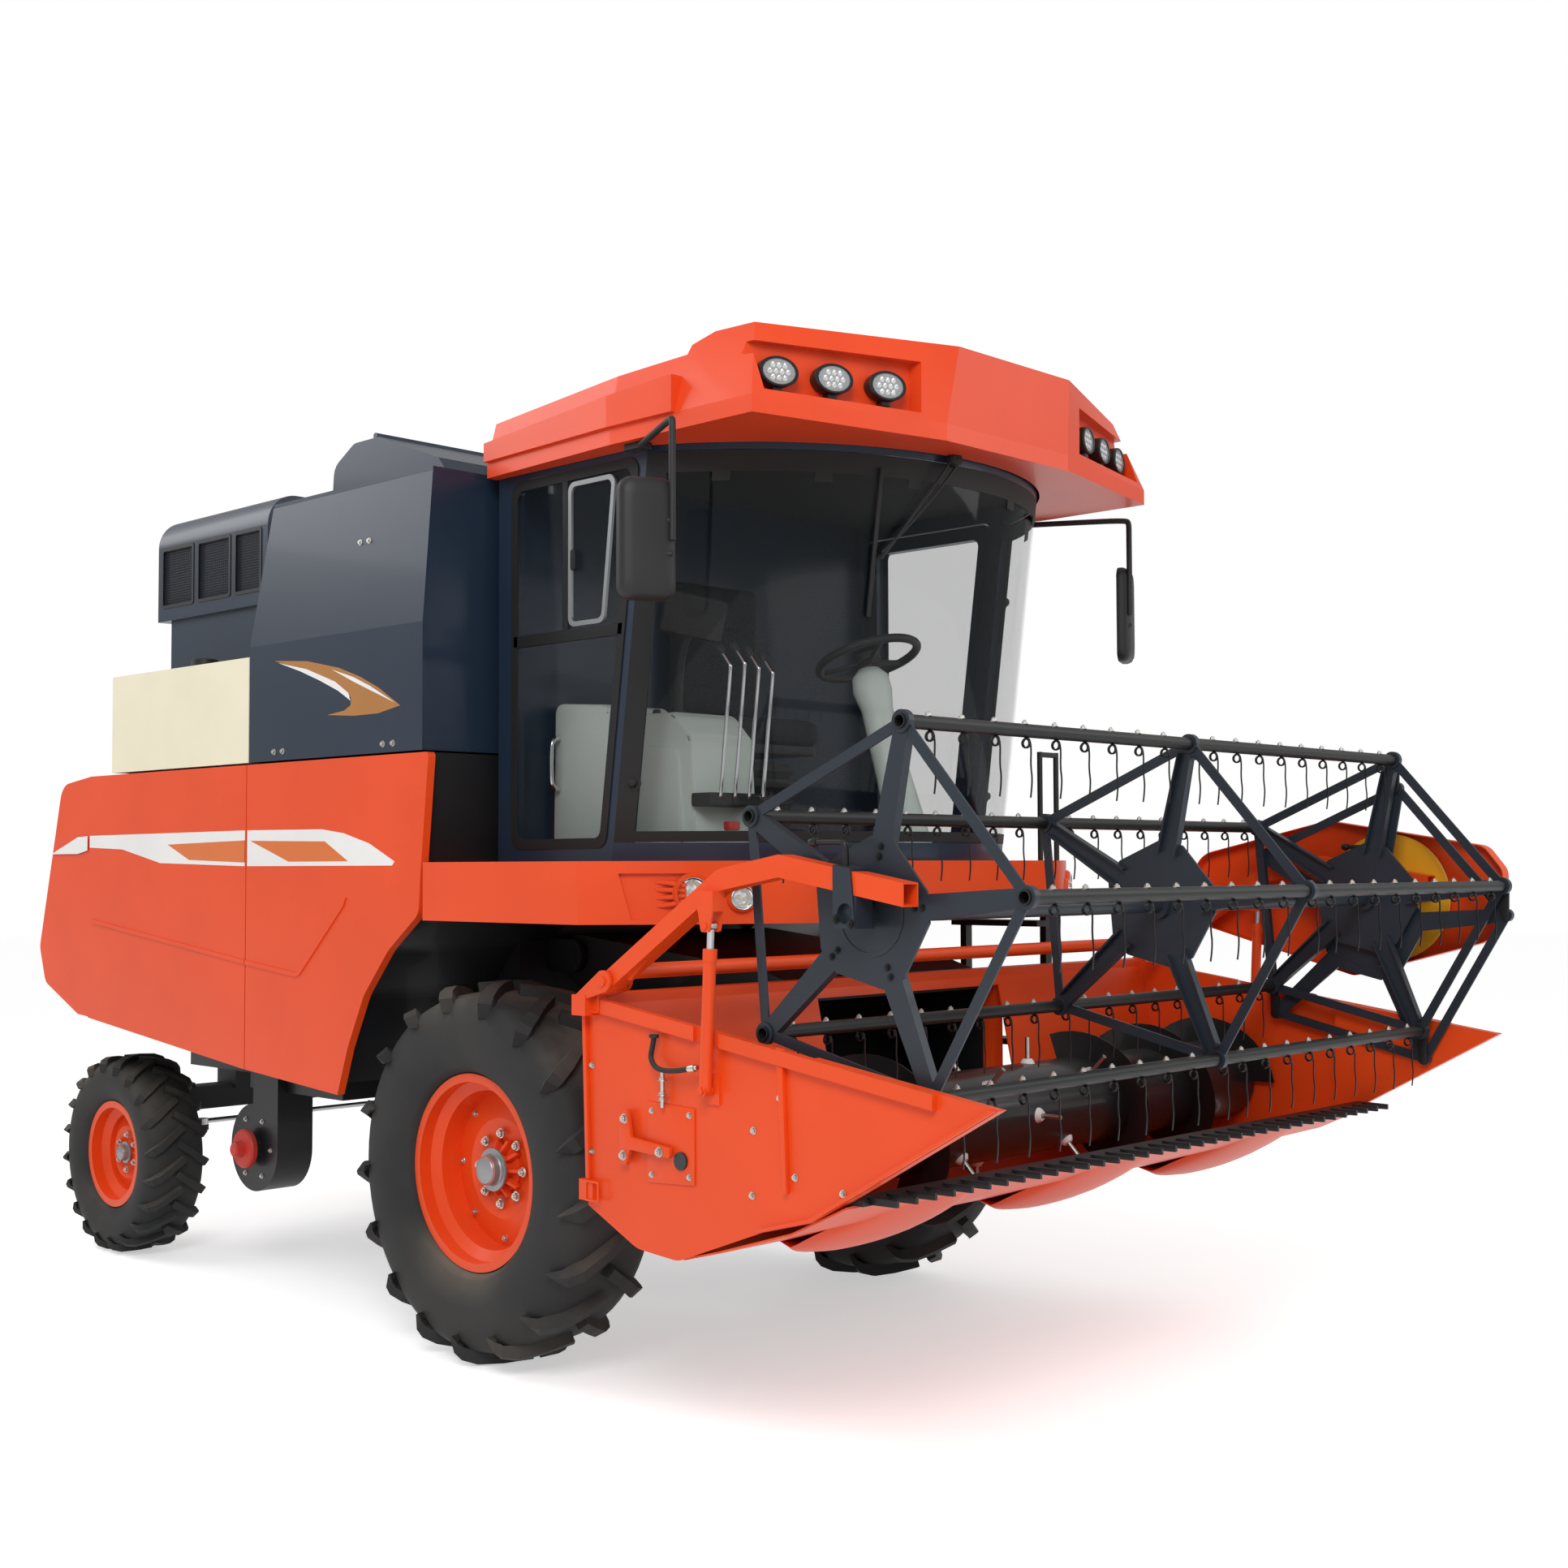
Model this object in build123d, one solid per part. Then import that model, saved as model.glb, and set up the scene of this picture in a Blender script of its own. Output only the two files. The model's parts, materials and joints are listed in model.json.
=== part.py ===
from build123d import *
import math
import os

# Combine harvester, all sizes in millimetres.
# While it is built, X is measured forward from the front axle, Y to the machine's left from
# the header's centre plane, and Z up from the ground. The finished pieces are then moved so
# that the origin lies on the ground under the middle of the whole machine.

# Running gear
WHEELBASE = 2638
CHASSIS_Y = -100
FRONT_TRACK = 1860
FRONT_HUB_Z = 612
FRONT_TYRE_R = 632
FRONT_TYRE_W = 380
FRONT_RIM_R = 305
FRONT_LUG_H = 34
FRONT_LUGS = 17
REAR_TRACK = 1800
REAR_HUB_Z = 400
REAR_TYRE_R = 420
REAR_TYRE_W = 270
REAR_RIM_R = 203
REAR_LUG_H = 22
REAR_LUGS = 20
KINGPIN_INSET = 215
STEER_ARM = 190
AXLE_TUBE_R = 75
BEAD_SHARE = 0.34
RUN_GAP = 0.4
SEAL = 0.4
SIDE_GAP = 5

# Frame and thresher body
RAIL_SPREAD = 860
RAIL_W = 60
RAIL_TOP_Z = 850
RAIL_FRONT_X = 0
RAIL_REAR_X = -2960
RAIL_H = 130
PANEL_HALF_W = 1143
PANEL_T = 30
PANEL_GAP = 8
BODY_TOP_Z = 2019
BODY_FRONT_X = -150
DOOR_SPLIT_X = -1321
DOOR_REAR_X = -2600
TAIL_X = -3063
ARCH_FOOT_X = -716
BELLY_FRONT_Z = 856
BELLY_REAR_Z = 1021
TOW_PIN_R = 15

# Grain tank and engine deck
TANK_FRONT_X = -187
TANK_REAR_X = -1305
TANK_FOLD_Z = 2467
TANK_TOP_Z = 2992
TANK_TAPER = 40
TANK_WALL = 6
HOOD_FRONT_X = -1590
HOOD_REAR_X = -2478
HOOD_SIDE_Y = -1000
HOOD_TOP_Z = 3140
HOOD_BOTTOM_Z = 2690
HOOD_W = 640
BOX_TOP_Z = 2430
BOX_REAR_X = -2400

# Cab
CAB_REAR_X = -147
CAB_HALF_W = 950
CAB_FLOOR_Z = 1645
CAB_TOP_Z = 3040
CAB_WALL = 45
DOOR_HINGE_X = -100
DOOR_HINGE_Y = 965
GLASS_T = 6
PILLAR_FOOT_X = 455
PILLAR_TOP_X = 640
WINDSCREEN_BULGE = 590
DECK_Z = 1448
DECK_HALF_W = 1243
ROOF_H = 250
SKIRT_H = 55
# Plan of the wall behind the work lamps on the left: its outer and its inner end
LAMP_LINE = ((1113, 1000), (1298, 430))
# x, y, z, degrees turned outwards, radius
HEADLAMPS = ((876, 985, 1545, 33.5, 46), (962, 855, 1530, 33.5, 36))

# Header
HEADER_HALF_W = 1413
PLATE_T = 6
DIVIDER_T = 30
FEEDER_PIVOT_X = -260
FEEDER_PIVOT_Z = 1300
FEEDER_HALF_W = 500
FEEDER_PIN_R = 30
TIP_X = 2391
TIP_Z = 1043
BACK_X = 868
BACK_TOP_Z = 1256
PAN_BOTTOM_Z = 533
CUTTER_X = 1935
CUTTER_Z = 768
AUGER_X = 1290
AUGER_Z = 812
AUGER_DRUM_R = 150
AUGER_FLIGHT_R = 240
AUGER_PITCH = 420
AUGER_STUB_R = 25
GUARD_PITCH = 76.2

# Reel
REEL_X = 1933
REEL_Z = 1506
REEL_R = 503
REEL_RIGHT_Y = 63 - HEADER_HALF_W
REEL_LEFT_Y = HEADER_HALF_W - 78
SPIDER_T = 8
PLATE_CORNER_R = 198
PLATE_SWING = 12
PRESSED_RING_R = 115
FLANGE_W = 24
BOSS_HALF = 10
PIN_R = 10
BAR_COUNT = 5
BAR_PHASE = 77.1
BAR_R = 19
SHAFT_R = 26
CRANK = 100
TINE_PITCH = 138
TINE_DROP = 185
ARM_PIVOT_X = 1000
ARM_PIVOT_Z = 1298
ARM_Y = HEADER_HALF_W + 1
ARM_TUBE = 60
FAR_ARM_Y = HEADER_HALF_W + 49
ARM_PIN_R = 15
CROSS_X = 1062
CROSS_Z = 1327
CRANK_Y = REEL_LEFT_Y + BOSS_HALF + 2
CRANK_T = 8
STAR_Y = CRANK_Y + CRANK_T + BOSS_HALF + 2
CARRIER_R = 150
STRAP_T = 6
PULLEY_R = 232
GUARD_Y = FAR_ARM_Y + ARM_TUBE / 2 + SIDE_GAP
GUARD_DEPTH = 48
GUARD_T = 3

# Cylinders: the barrel turns on the first point and the rod's eye lies at the second
LIFT_BASE = (60, 480)
LIFT_EYE = (800, 700)
LIFT_Y = 400
LIFT_R = 32
LIFT_ROD_R = 18
LIFT_CLOSING = 285
REEL_CYL_BASE = (1413, 1018)
REEL_CYL_EYE = (1436, 1465)
REEL_CYL_Y = HEADER_HALF_W + 31
REEL_CYL_R = 18
REEL_ROD_R = 10

# Middle of the whole machine, and the height of the ground below the tyres' heights above
ORIGIN_X = -298
ORIGIN_Y = 36.5
GROUND_Z = FRONT_HUB_Z - FRONT_TYRE_R


def block(x, y, z):
    """A box between two limits on each axis."""
    size = [abs(b - a) for a, b in (x, y, z)]
    centre = [(a + b) / 2 for a, b in (x, y, z)]
    return Pos(*centre) * Box(*size)


def outline(rows):
    """A flat face from rows of (u, v) or (u, v, corner radius)."""
    points = [(row[0], row[1]) for row in rows]
    radii = [row[2] if len(row) > 2 else 0 for row in rows]
    if any(radii):
        return make_face(FilletPolyline(*points, radius=radii, close=True))
    return make_face(Polyline(*points, close=True))


def side_solid(rows, y_low, y_high):
    """An outline of (x, z) rows, solid from y_low to y_high."""
    plane = Plane(origin=(0, y_high, 0), x_dir=(1, 0, 0), z_dir=(0, -1, 0))
    return extrude(plane * outline(rows), y_high - y_low)


def plan_solid(rows, z_low, z_high):
    """An outline of (x, y) rows, solid from z_low to z_high."""
    return extrude(Pos(0, 0, z_low) * outline(rows), z_high - z_low)


def cross_solid(rows, x_low, x_high):
    """An outline of (y, z) rows, solid from x_low to x_high."""
    plane = Plane(origin=(x_low, 0, 0), x_dir=(0, 1, 0), z_dir=(1, 0, 0))
    return extrude(plane * outline(rows), x_high - x_low)


def rod(start, end, radius):
    """A round bar from one point to another."""
    a, b = Vector(*start), Vector(*end)
    return Plane(origin=a, z_dir=b - a) * Cylinder(
        radius, (b - a).length, align=(Align.CENTER, Align.CENTER, Align.MIN))


def beam(start, end, width, height):
    """A square-edged bar between two points, its width along Y or, for a bar along Y, along X."""
    a, b = Vector(*start), Vector(*end)
    along = b - a
    side = Vector(1, 0, 0) if abs(along.Y) > 0.9 * along.length else Vector(0, 1, 0)
    return Plane(origin=a, x_dir=side, z_dir=along) * Box(
        width, height, along.length, align=(Align.CENTER, Align.CENTER, Align.MIN))


def spun(rows, x, y, z):
    """A solid of revolution about Y from rows of (radius, y)."""
    return Pos(x, y, z) * revolve(outline(rows), Axis.Y)


def joined(pieces):
    """One solid, or a set of solids, from many pieces."""
    first = pieces[0]
    return first.fuse(*pieces[1:]) if len(pieces) > 1 else first


def polar(radius, degrees, x=0, z=0):
    """Point at a radius and an angle in the side view."""
    return x + radius * math.cos(math.radians(degrees)), z + radius * math.sin(math.radians(degrees))


def mirrored(shape, y=0):
    """The same piece on the other side of the plane at y."""
    return mirror(shape, about=Plane(origin=(0, y, 0), z_dir=(0, 1, 0)))


# Wheels

def lug(tip_r, base_r, half_w, width, side, angle):
    """One tread bar, from the tyre's middle to its shoulder, at 45 degrees to the rolling way."""
    reach = half_w * math.sqrt(2)
    # share of the bar's length, drop of its top as a share of the radius
    stations = ((-0.06, 0), (0.5, 0.012), (0.82, 0.035), (0.94, 0.11))
    top = []
    for share, drop in stations:
        offset = (abs(share - 0.5) * reach + width / 2) / math.sqrt(2)
        top.append((share * reach, math.sqrt((tip_r * (1 - drop)) ** 2 - offset ** 2)))
    foot = base_r * 0.89
    rows = top + [(0.96 * reach, foot), (-0.06 * reach, foot)]
    plane = Plane(origin=(0, 0, 0), x_dir=(1, 0, 0), z_dir=(0, -1, 0))
    bar = Pos(-0.5 * reach, width / 2, 0) * extrude(plane * outline(rows), width)
    bar = Pos(0, side * half_w / 2, 0) * Rot(0, 0, 90 * side - 45) * bar
    return Rot(0, angle, 0) * bar


def tyre(radius, width, rim_r, lug_h, lugs, lug_w):
    """A carcass of revolution with two rows of staggered bars."""
    half = width / 2
    crown = radius - lug_h
    bead = width * BEAD_SHARE
    waist = (rim_r + crown) / 2
    rows = [(rim_r + SEAL, -bead), (rim_r + 26, -bead), (rim_r + 44, -half * 0.86, 12),
            (waist, -half, 60), (crown - 22, -half * 0.90, 24), (crown, 0),
            (crown - 22, half * 0.90, 24), (waist, half, 60), (rim_r + 44, half * 0.86, 12),
            (rim_r + 26, bead), (rim_r + SEAL, bead)]
    bars = []
    for index in range(lugs):
        step = 360 / lugs
        bars.append(lug(radius, crown, half * 0.94, lug_w, 1, index * step))
        bars.append(lug(radius, crown, half * 0.94, lug_w, -1, (index + 0.5) * step))
    return joined([revolve(outline(rows), Axis.Y)] + bars)


def rim(rim_r, width, disc_y, hub_r, hub_out):
    """A wheel with flanges and a drop centre, its dished disc and its hub, outer side at -Y."""
    seat = width * BEAD_SHARE + SEAL
    lip = rim_r + 22
    wall = 6
    low = [(rim_r, -seat + 46), (rim_r, -seat), (lip, -seat), (lip, -seat - wall),
           (rim_r - wall, -seat - wall), (rim_r - wall, -seat + 40), (rim_r - 40, -seat + 62)]
    high = [(radius, -y) for radius, y in low[::-1]]
    shell = low + high + [(rim_r - 40 + wall, seat - 64), (rim_r - 40 + wall, -seat + 64)]
    disc = [(hub_r - 10, disc_y - 8), (rim_r * 0.55, disc_y - 34), (rim_r - 36, disc_y - 8),
            (rim_r - 36, disc_y + 2), (rim_r * 0.55, disc_y - 22), (hub_r - 10, disc_y + 4)]
    hub = [(0, disc_y - hub_out), (hub_r * 0.62, disc_y - hub_out), (hub_r * 0.62, disc_y - 30),
           (hub_r, disc_y - 20), (hub_r, disc_y + 30), (0, disc_y + 30)]
    return joined([revolve(outline(rows), Axis.Y) for rows in (shell, disc, hub)])


def wheels():
    front_tyre = tyre(FRONT_TYRE_R, FRONT_TYRE_W, FRONT_RIM_R, FRONT_LUG_H, FRONT_LUGS, 42)
    front_rim = rim(FRONT_RIM_R, FRONT_TYRE_W, 20, 78, 105)
    rear_tyre = tyre(REAR_TYRE_R, REAR_TYRE_W, REAR_RIM_R, REAR_LUG_H, REAR_LUGS, 30)
    rear_rim = rim(REAR_RIM_R, REAR_TYRE_W, 0, 52, 62)
    # name, solid, x, half track, z
    rows = (("front_tyre", front_tyre, 0, FRONT_TRACK / 2, FRONT_HUB_Z),
            ("front_rim", front_rim, 0, FRONT_TRACK / 2, FRONT_HUB_Z),
            ("rear_tyre", rear_tyre, -WHEELBASE, REAR_TRACK / 2, REAR_HUB_Z),
            ("rear_rim", rear_rim, -WHEELBASE, REAR_TRACK / 2, REAR_HUB_Z))
    nodes = {}
    for name, solid, x, half_track, z in rows:
        right = Pos(x, CHASSIS_Y - half_track, z) * solid
        nodes[name + "_right"] = right
        nodes[name + "_left"] = mirrored(right, CHASSIS_Y)
    return nodes


def front_axle():
    """Gearbox and axle tubes with the final drives' flanges that the hubs run against."""
    inner = FRONT_TRACK / 2 - 20 - 30 - RUN_GAP
    low = RAIL_TOP_Z - RAIL_H - SEAL
    z = FRONT_HUB_Z
    pieces = [rod((0, CHASSIS_Y - inner, z), (0, CHASSIS_Y + inner, z), AXLE_TUBE_R)]
    for side in (-1, 1):
        y = CHASSIS_Y + side * inner
        rail_y = CHASSIS_Y + side * RAIL_SPREAD / 2
        pieces.append(rod((0, y - side * 110, z), (0, y, z), 130))
        pieces.append(block((-90, RAIL_FRONT_X), (rail_y - RAIL_W / 2, rail_y + RAIL_W / 2), (z, low)))
        for ear in (-1, 1):
            ear_y = side * LIFT_Y + ear * (LIFT_R + SIDE_GAP + 5)
            ear_rows = [(-40, z), (LIFT_BASE[0] - 28, LIFT_BASE[1] - 24, 12), (LIFT_BASE[0] + 28,
                                                                               LIFT_BASE[1] - 24, 12),
                        (LIFT_BASE[0] + 28, z)]
            pieces.append(side_solid(ear_rows, ear_y - 5, ear_y + 5))
    pieces.append(block((-230, 110), (CHASSIS_Y - 240, CHASSIS_Y + 160), (z - 190, z + 85)))
    axle = joined(pieces)
    for side in (-1, 1):
        y = side * LIFT_Y
        axle = axle.cut(rod((LIFT_BASE[0], y - 60, LIFT_BASE[1]), (LIFT_BASE[0], y + 60, LIFT_BASE[1]),
                            14 + RUN_GAP))
    return axle


def rear_axle():
    """Box beam with a kingpin boss at each end."""
    half = REAR_TRACK / 2 - KINGPIN_INSET
    x = -WHEELBASE
    pieces = [block((x - 60, x + 60), (CHASSIS_Y - half, CHASSIS_Y + half), (560, 660)),
              block((x - 80, x + 80), (CHASSIS_Y - 460, CHASSIS_Y + 460), (640, RAIL_TOP_Z - RAIL_H - SEAL))]
    for side in (-1, 1):
        y = CHASSIS_Y + side * half
        pieces.append(rod((x, y, 545), (x, y, 675), 62))
    return joined(pieces)


def knuckles():
    """Kingpin, stub axle and steering arm of each rear wheel."""
    x = -WHEELBASE
    y = CHASSIS_Y - REAR_TRACK / 2 + KINGPIN_INSET
    stub_end = CHASSIS_Y - REAR_TRACK / 2 + 30 + RUN_GAP
    pieces = [rod((x, y, 340), (x, y, 545 - RUN_GAP), 48),
              rod((x, y, REAR_HUB_Z), (x, stub_end, REAR_HUB_Z), 42),
              beam((x, y, 500), (x + STEER_ARM, y, 500), 50, 24),
              rod((x + STEER_ARM, y, 488), (x + STEER_ARM, y, 512), 28)]
    right = joined(pieces)
    return {"knuckle_right": right, "knuckle_left": mirrored(right, CHASSIS_Y)}


def tie_rod():
    half = REAR_TRACK / 2 - KINGPIN_INSET
    x = -WHEELBASE + STEER_ARM
    z = 512 + RUN_GAP
    ends = [rod((x, CHASSIS_Y + side * half, z), (x, CHASSIS_Y + side * half, z + 26), 26) for side in (-1, 1)]
    return joined([rod((x, CHASSIS_Y - half, z + 13), (x, CHASSIS_Y + half, z + 13), 11)] + ends)


# Frame and body

def belly_z(x):
    """Height of the closed body's underside at a place along it."""
    front, rear = ARCH_FOOT_X, DOOR_REAR_X
    share = (front - x) / (front - rear)
    return BELLY_FRONT_Z + share * (BELLY_REAR_Z - BELLY_FRONT_Z)


def main_frame():
    """Two rails with cross members, bolsters under the body and the tow clevis at the rear."""
    low = RAIL_TOP_Z - RAIL_H
    pieces = []
    for side in (-1, 1):
        y = CHASSIS_Y + side * RAIL_SPREAD / 2
        pieces.append(block((RAIL_REAR_X, RAIL_FRONT_X), (y - RAIL_W / 2, y + RAIL_W / 2), (low, RAIL_TOP_Z)))
        for x in (-1900, -2500):
            rows = [(x - 40, RAIL_TOP_Z - 10), (x + 40, RAIL_TOP_Z - 10), (x + 40, belly_z(x + 40) - SEAL),
                    (x - 40, belly_z(x - 40) - SEAL)]
            pieces.append(side_solid(rows, y - RAIL_W / 2, y + RAIL_W / 2))
    for x in (-2900, -1900, -1200):
        pieces.append(block((x - 30, x + 30), (CHASSIS_Y - RAIL_SPREAD / 2, CHASSIS_Y + RAIL_SPREAD / 2),
                            (low + 20, RAIL_TOP_Z - 20)))
    clevis = block((-3050, -2930), (CHASSIS_Y - 45, CHASSIS_Y + 45), (low + 15, RAIL_TOP_Z - 15))
    clevis -= block((-3060, -2975), (CHASSIS_Y - 46, CHASSIS_Y + 46), (low + 45, RAIL_TOP_Z - 45))
    clevis -= rod((-3010, CHASSIS_Y, low), (-3010, CHASSIS_Y, RAIL_TOP_Z), TOW_PIN_R)
    return joined(pieces + [clevis])


def thresher_body():
    """Closed body between the doors, with the narrow nose over the front axle."""
    half = PANEL_HALF_W - PANEL_T - SEAL
    rows = [(BODY_FRONT_X - 26, BODY_TOP_Z), (-221, 1593), (-229, 1469, 60), (-407, 1341, 200),
            (-554, 1180, 200), (-653, 990, 200), (ARCH_FOOT_X, BELLY_FRONT_Z), (DOOR_REAR_X, BELLY_REAR_Z),
            (DOOR_REAR_X, BODY_TOP_Z)]
    wide = side_solid(rows, CHASSIS_Y - half, CHASSIS_Y + half)
    nose_x = FEEDER_PIVOT_X - 130
    nose = side_solid([(nose_x, DECK_Z + 90), (nose_x, 1150), (-200, RAIL_TOP_Z + SEAL),
                       (-1000, RAIL_TOP_Z + SEAL), (-1000, BODY_TOP_Z - 20), (nose_x, BODY_TOP_Z - 20)],
                      CHASSIS_Y - 560, CHASSIS_Y + 560)
    feeder_bay = side_solid([(-100, DECK_Z - 8), (nose_x, DECK_Z - 8), (nose_x, 700), (-100, 700)],
                            -FEEDER_HALF_W - 15, FEEDER_HALF_W + 15)
    pieces = [wide - feeder_bay, nose]
    pieces.append(block((TANK_REAR_X + 40, TANK_FRONT_X - 60), (CHASSIS_Y - half + 60, CHASSIS_Y + half - 60),
                        (BODY_TOP_Z - 5, BODY_TOP_Z + PANEL_GAP - SEAL)))
    pieces.append(block((BOX_REAR_X + 30, TANK_REAR_X - 30), (CHASSIS_Y - half + 30, HOOD_SIDE_Y - 20),
                        (BODY_TOP_Z - 5, BODY_TOP_Z + PANEL_GAP - SEAL)))
    x, z = FEEDER_PIVOT_X, FEEDER_PIVOT_Z
    for side in (-1, 1):
        y = side * (FEEDER_HALF_W + 18)
        pieces.append(side_solid([(x - 240, z - 60), (x, z - 60), (x, z + 60), (x - 240, z + 60)], y - 10,
                                 y + 10))
        pieces.append(rod((x, y - 10, z), (x, y + 10, z), 60))
    body = joined(pieces)
    return body.cut(rod((x, -FEEDER_HALF_W - 40, z), (x, FEEDER_HALF_W + 40, z), FEEDER_PIN_R + RUN_GAP))


def service_door(front):
    """Right-hand door: the front one follows the wheel arch, the rear one is plain."""
    y = CHASSIS_Y - PANEL_HALF_W
    if front:
        rows = [(BODY_FRONT_X, BODY_TOP_Z, 14), (-195, 1593), (-203, 1469, 60), (-381, 1341, 200),
                (-528, 1180, 200), (-627, 990, 200), (-690, 820), (DOOR_SPLIT_X + 3, 866),
                (DOOR_SPLIT_X + 3, BODY_TOP_Z)]
    else:
        rows = [(DOOR_SPLIT_X - 3, BODY_TOP_Z), (DOOR_SPLIT_X - 3, 866), (DOOR_REAR_X + PANEL_GAP, 995),
                (DOOR_REAR_X + PANEL_GAP, BODY_TOP_Z)]
    panel = side_solid(rows, y, y + PANEL_T)
    ridge_rows = [(-2560, 1412), (-1361, 1282), (-946, 1242, 60), (-640, 1520), (-655, 1490),
                  (-950, 1226, 60), (-1361, 1266), (-2560, 1396)]
    ridge = side_solid(ridge_rows, y - 5, y + 2)
    band_low, band_high = (DOOR_SPLIT_X + 3, 0) if front else (DOOR_REAR_X + PANEL_GAP, DOOR_SPLIT_X - 3)
    ridge &= block((band_low, band_high), (y - 10, y + 10), (900, 1900))
    return panel + ridge


def service_doors():
    front, rear = service_door(True), service_door(False)
    return {"door_front_right": front, "door_rear_right": rear,
            "door_front_left": mirrored(front, CHASSIS_Y), "door_rear_left": mirrored(rear, CHASSIS_Y)}


def tail_hood():
    """Chaff hood at the rear, open below."""
    half = PANEL_HALF_W - 6
    outer_rows = [(DOOR_REAR_X - SEAL, BODY_TOP_Z), (-2865, 1990, 90), (TAIL_X, 1283, 60), (-3005, 1130, 60),
                  (-2694, 1004), (DOOR_REAR_X - SEAL, 998)]
    inner_rows = [(DOOR_REAR_X - 16, BODY_TOP_Z - 30), (-2850, 1962), (-3032, 1283), (-2985, 1160),
                  (-2985, 900), (DOOR_REAR_X - 16, 900)]
    outer = side_solid(outer_rows, CHASSIS_Y - half, CHASSIS_Y + half)
    inner = side_solid(inner_rows, CHASSIS_Y - half + 25, CHASSIS_Y + half - 25)
    return outer - inner


def tank_rows(wall):
    """Cross-section of the tank in the (y, z) view, walls set in by the given amount."""
    half = PANEL_HALF_W - wall
    top_half = half - TANK_TAPER
    return [(CHASSIS_Y - half, BODY_TOP_Z + PANEL_GAP + wall), (CHASSIS_Y + half,
                                                                BODY_TOP_Z + PANEL_GAP + wall),
            (CHASSIS_Y + half, TANK_FOLD_Z), (CHASSIS_Y + top_half, TANK_TOP_Z),
            (CHASSIS_Y - top_half, TANK_TOP_Z), (CHASSIS_Y - half, TANK_FOLD_Z)]


def grain_tank():
    """Open-topped bin over the thresher body."""
    bin_solid = cross_solid(tank_rows(0), TANK_REAR_X, TANK_FRONT_X)
    inside = cross_solid(tank_rows(TANK_WALL), TANK_REAR_X + TANK_WALL, TANK_FRONT_X - TANK_WALL)
    slope = side_solid([(TANK_REAR_X - 1, TANK_FOLD_Z), (TANK_REAR_X + 95, TANK_TOP_Z + 1),
                        (TANK_REAR_X - 1, TANK_TOP_Z + 1)], -1500, 1500)
    inner_slope = side_solid([(TANK_REAR_X, TANK_FOLD_Z), (TANK_REAR_X + 95 + TANK_WALL, TANK_TOP_Z + 1),
                              (TANK_REAR_X, TANK_TOP_Z + 1)], -1500, 1500)
    return (bin_solid - slope) - (inside - inner_slope)


def tank_lid():
    """Flat cover with the raised ridge over the filling auger."""
    half = PANEL_HALF_W - TANK_TAPER
    z = TANK_TOP_Z + RUN_GAP
    flat = block((TANK_REAR_X + 100, TANK_FRONT_X), (CHASSIS_Y - half, CHASSIS_Y + half), (z, z + 14))
    ridge = side_solid([(-900, z + 14), (-890, z + 120, 60), (-760, z + 190, 60), (-600, z + 190, 40),
                        (-240, z + 60), (-200, z + 14)], CHASSIS_Y - half + 60, CHASSIS_Y + half - 60)
    bar = rod((-625, CHASSIS_Y - half + 60, z + 196), (-625, CHASSIS_Y + half - 60, z + 196), 12)
    return joined([flat, ridge, bar])


def intake_screen():
    """Radiator air screen: a box base and a rounded hood with framed windows."""
    y = HOOD_SIDE_Y
    hood = cross_solid([(y, HOOD_BOTTOM_Z), (y + HOOD_W, HOOD_BOTTOM_Z), (y + HOOD_W, HOOD_TOP_Z, 20),
                        (y, HOOD_TOP_Z, 130)], HOOD_REAR_X, HOOD_FRONT_X)
    base = block((HOOD_REAR_X + 80, HOOD_FRONT_X - 10), (y + 20, y + HOOD_W - 20), (BODY_TOP_Z + SEAL,
                                                                                    HOOD_BOTTOM_Z))
    windows = []
    for low, high in ((-2440, -2180), (-2140, -1880), (-1840, -1640)):
        windows.append(block((low, high), (y - 1, y + 12), (HOOD_BOTTOM_Z + 60, HOOD_TOP_Z - 140)))
    return joined([hood, base]) - joined(windows)


def side_box():
    """Fuel tank with its smooth outer cover, on the right beside the engine."""
    y = CHASSIS_Y - PANEL_HALF_W
    return block((BOX_REAR_X, TANK_REAR_X - 6), (y, HOOD_SIDE_Y - 4), (BODY_TOP_Z + PANEL_GAP, BOX_TOP_Z))


def engine():
    return block((-2350, -1450), (-300, 400), (BODY_TOP_Z + SEAL, 2700))


def exhaust():
    """Silencer and tail pipe on the engine's left."""
    pieces = [rod((-2300, 470, 2620), (-1700, 470, 2620), 60), rod((-2200, 470, 2620), (-2200, 470, 3080), 28),
              block((-2100, -1900), (400 + SEAL, 470), (2560, 2600))]
    return joined(pieces)


def unloading_auger():
    """Vertical riser and folded delivery tube on the left."""
    x, y, z = -1480, 850, 2800
    riser = rod((x, y, BODY_TOP_Z + 30), (x, y, z + 105), 105)
    tube = rod((x, y, z), (x - 1480, y, z), 100)
    spout = block((x - 1480, x - 1330), (y - 90, y + 90), (z - 230, z))
    flange = rod((x, y, BODY_TOP_Z + RUN_GAP), (x, y, BODY_TOP_Z + 50), 150)
    return joined([riser, tube, spout, flange])


def elevator_boot():
    """Lower end of the clean grain elevator, with its bearing and red hub."""
    x, y, z = -1740, -870, 500
    rail_y = CHASSIS_Y - RAIL_SPREAD / 2 - RAIL_W / 2 - SEAL
    pieces = [rod((x, y - 80, z), (x, y + 80, z), 175),
              block((x - 10, x + 175), (y - 80, y + 80), (z, 885)),
              rod((x, y - 110, z), (x, y - 80, z), 60),
              block((x - 100, x + 575), (y - 40, rail_y), (730, 800))]
    return joined(pieces)


# Cab

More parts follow.
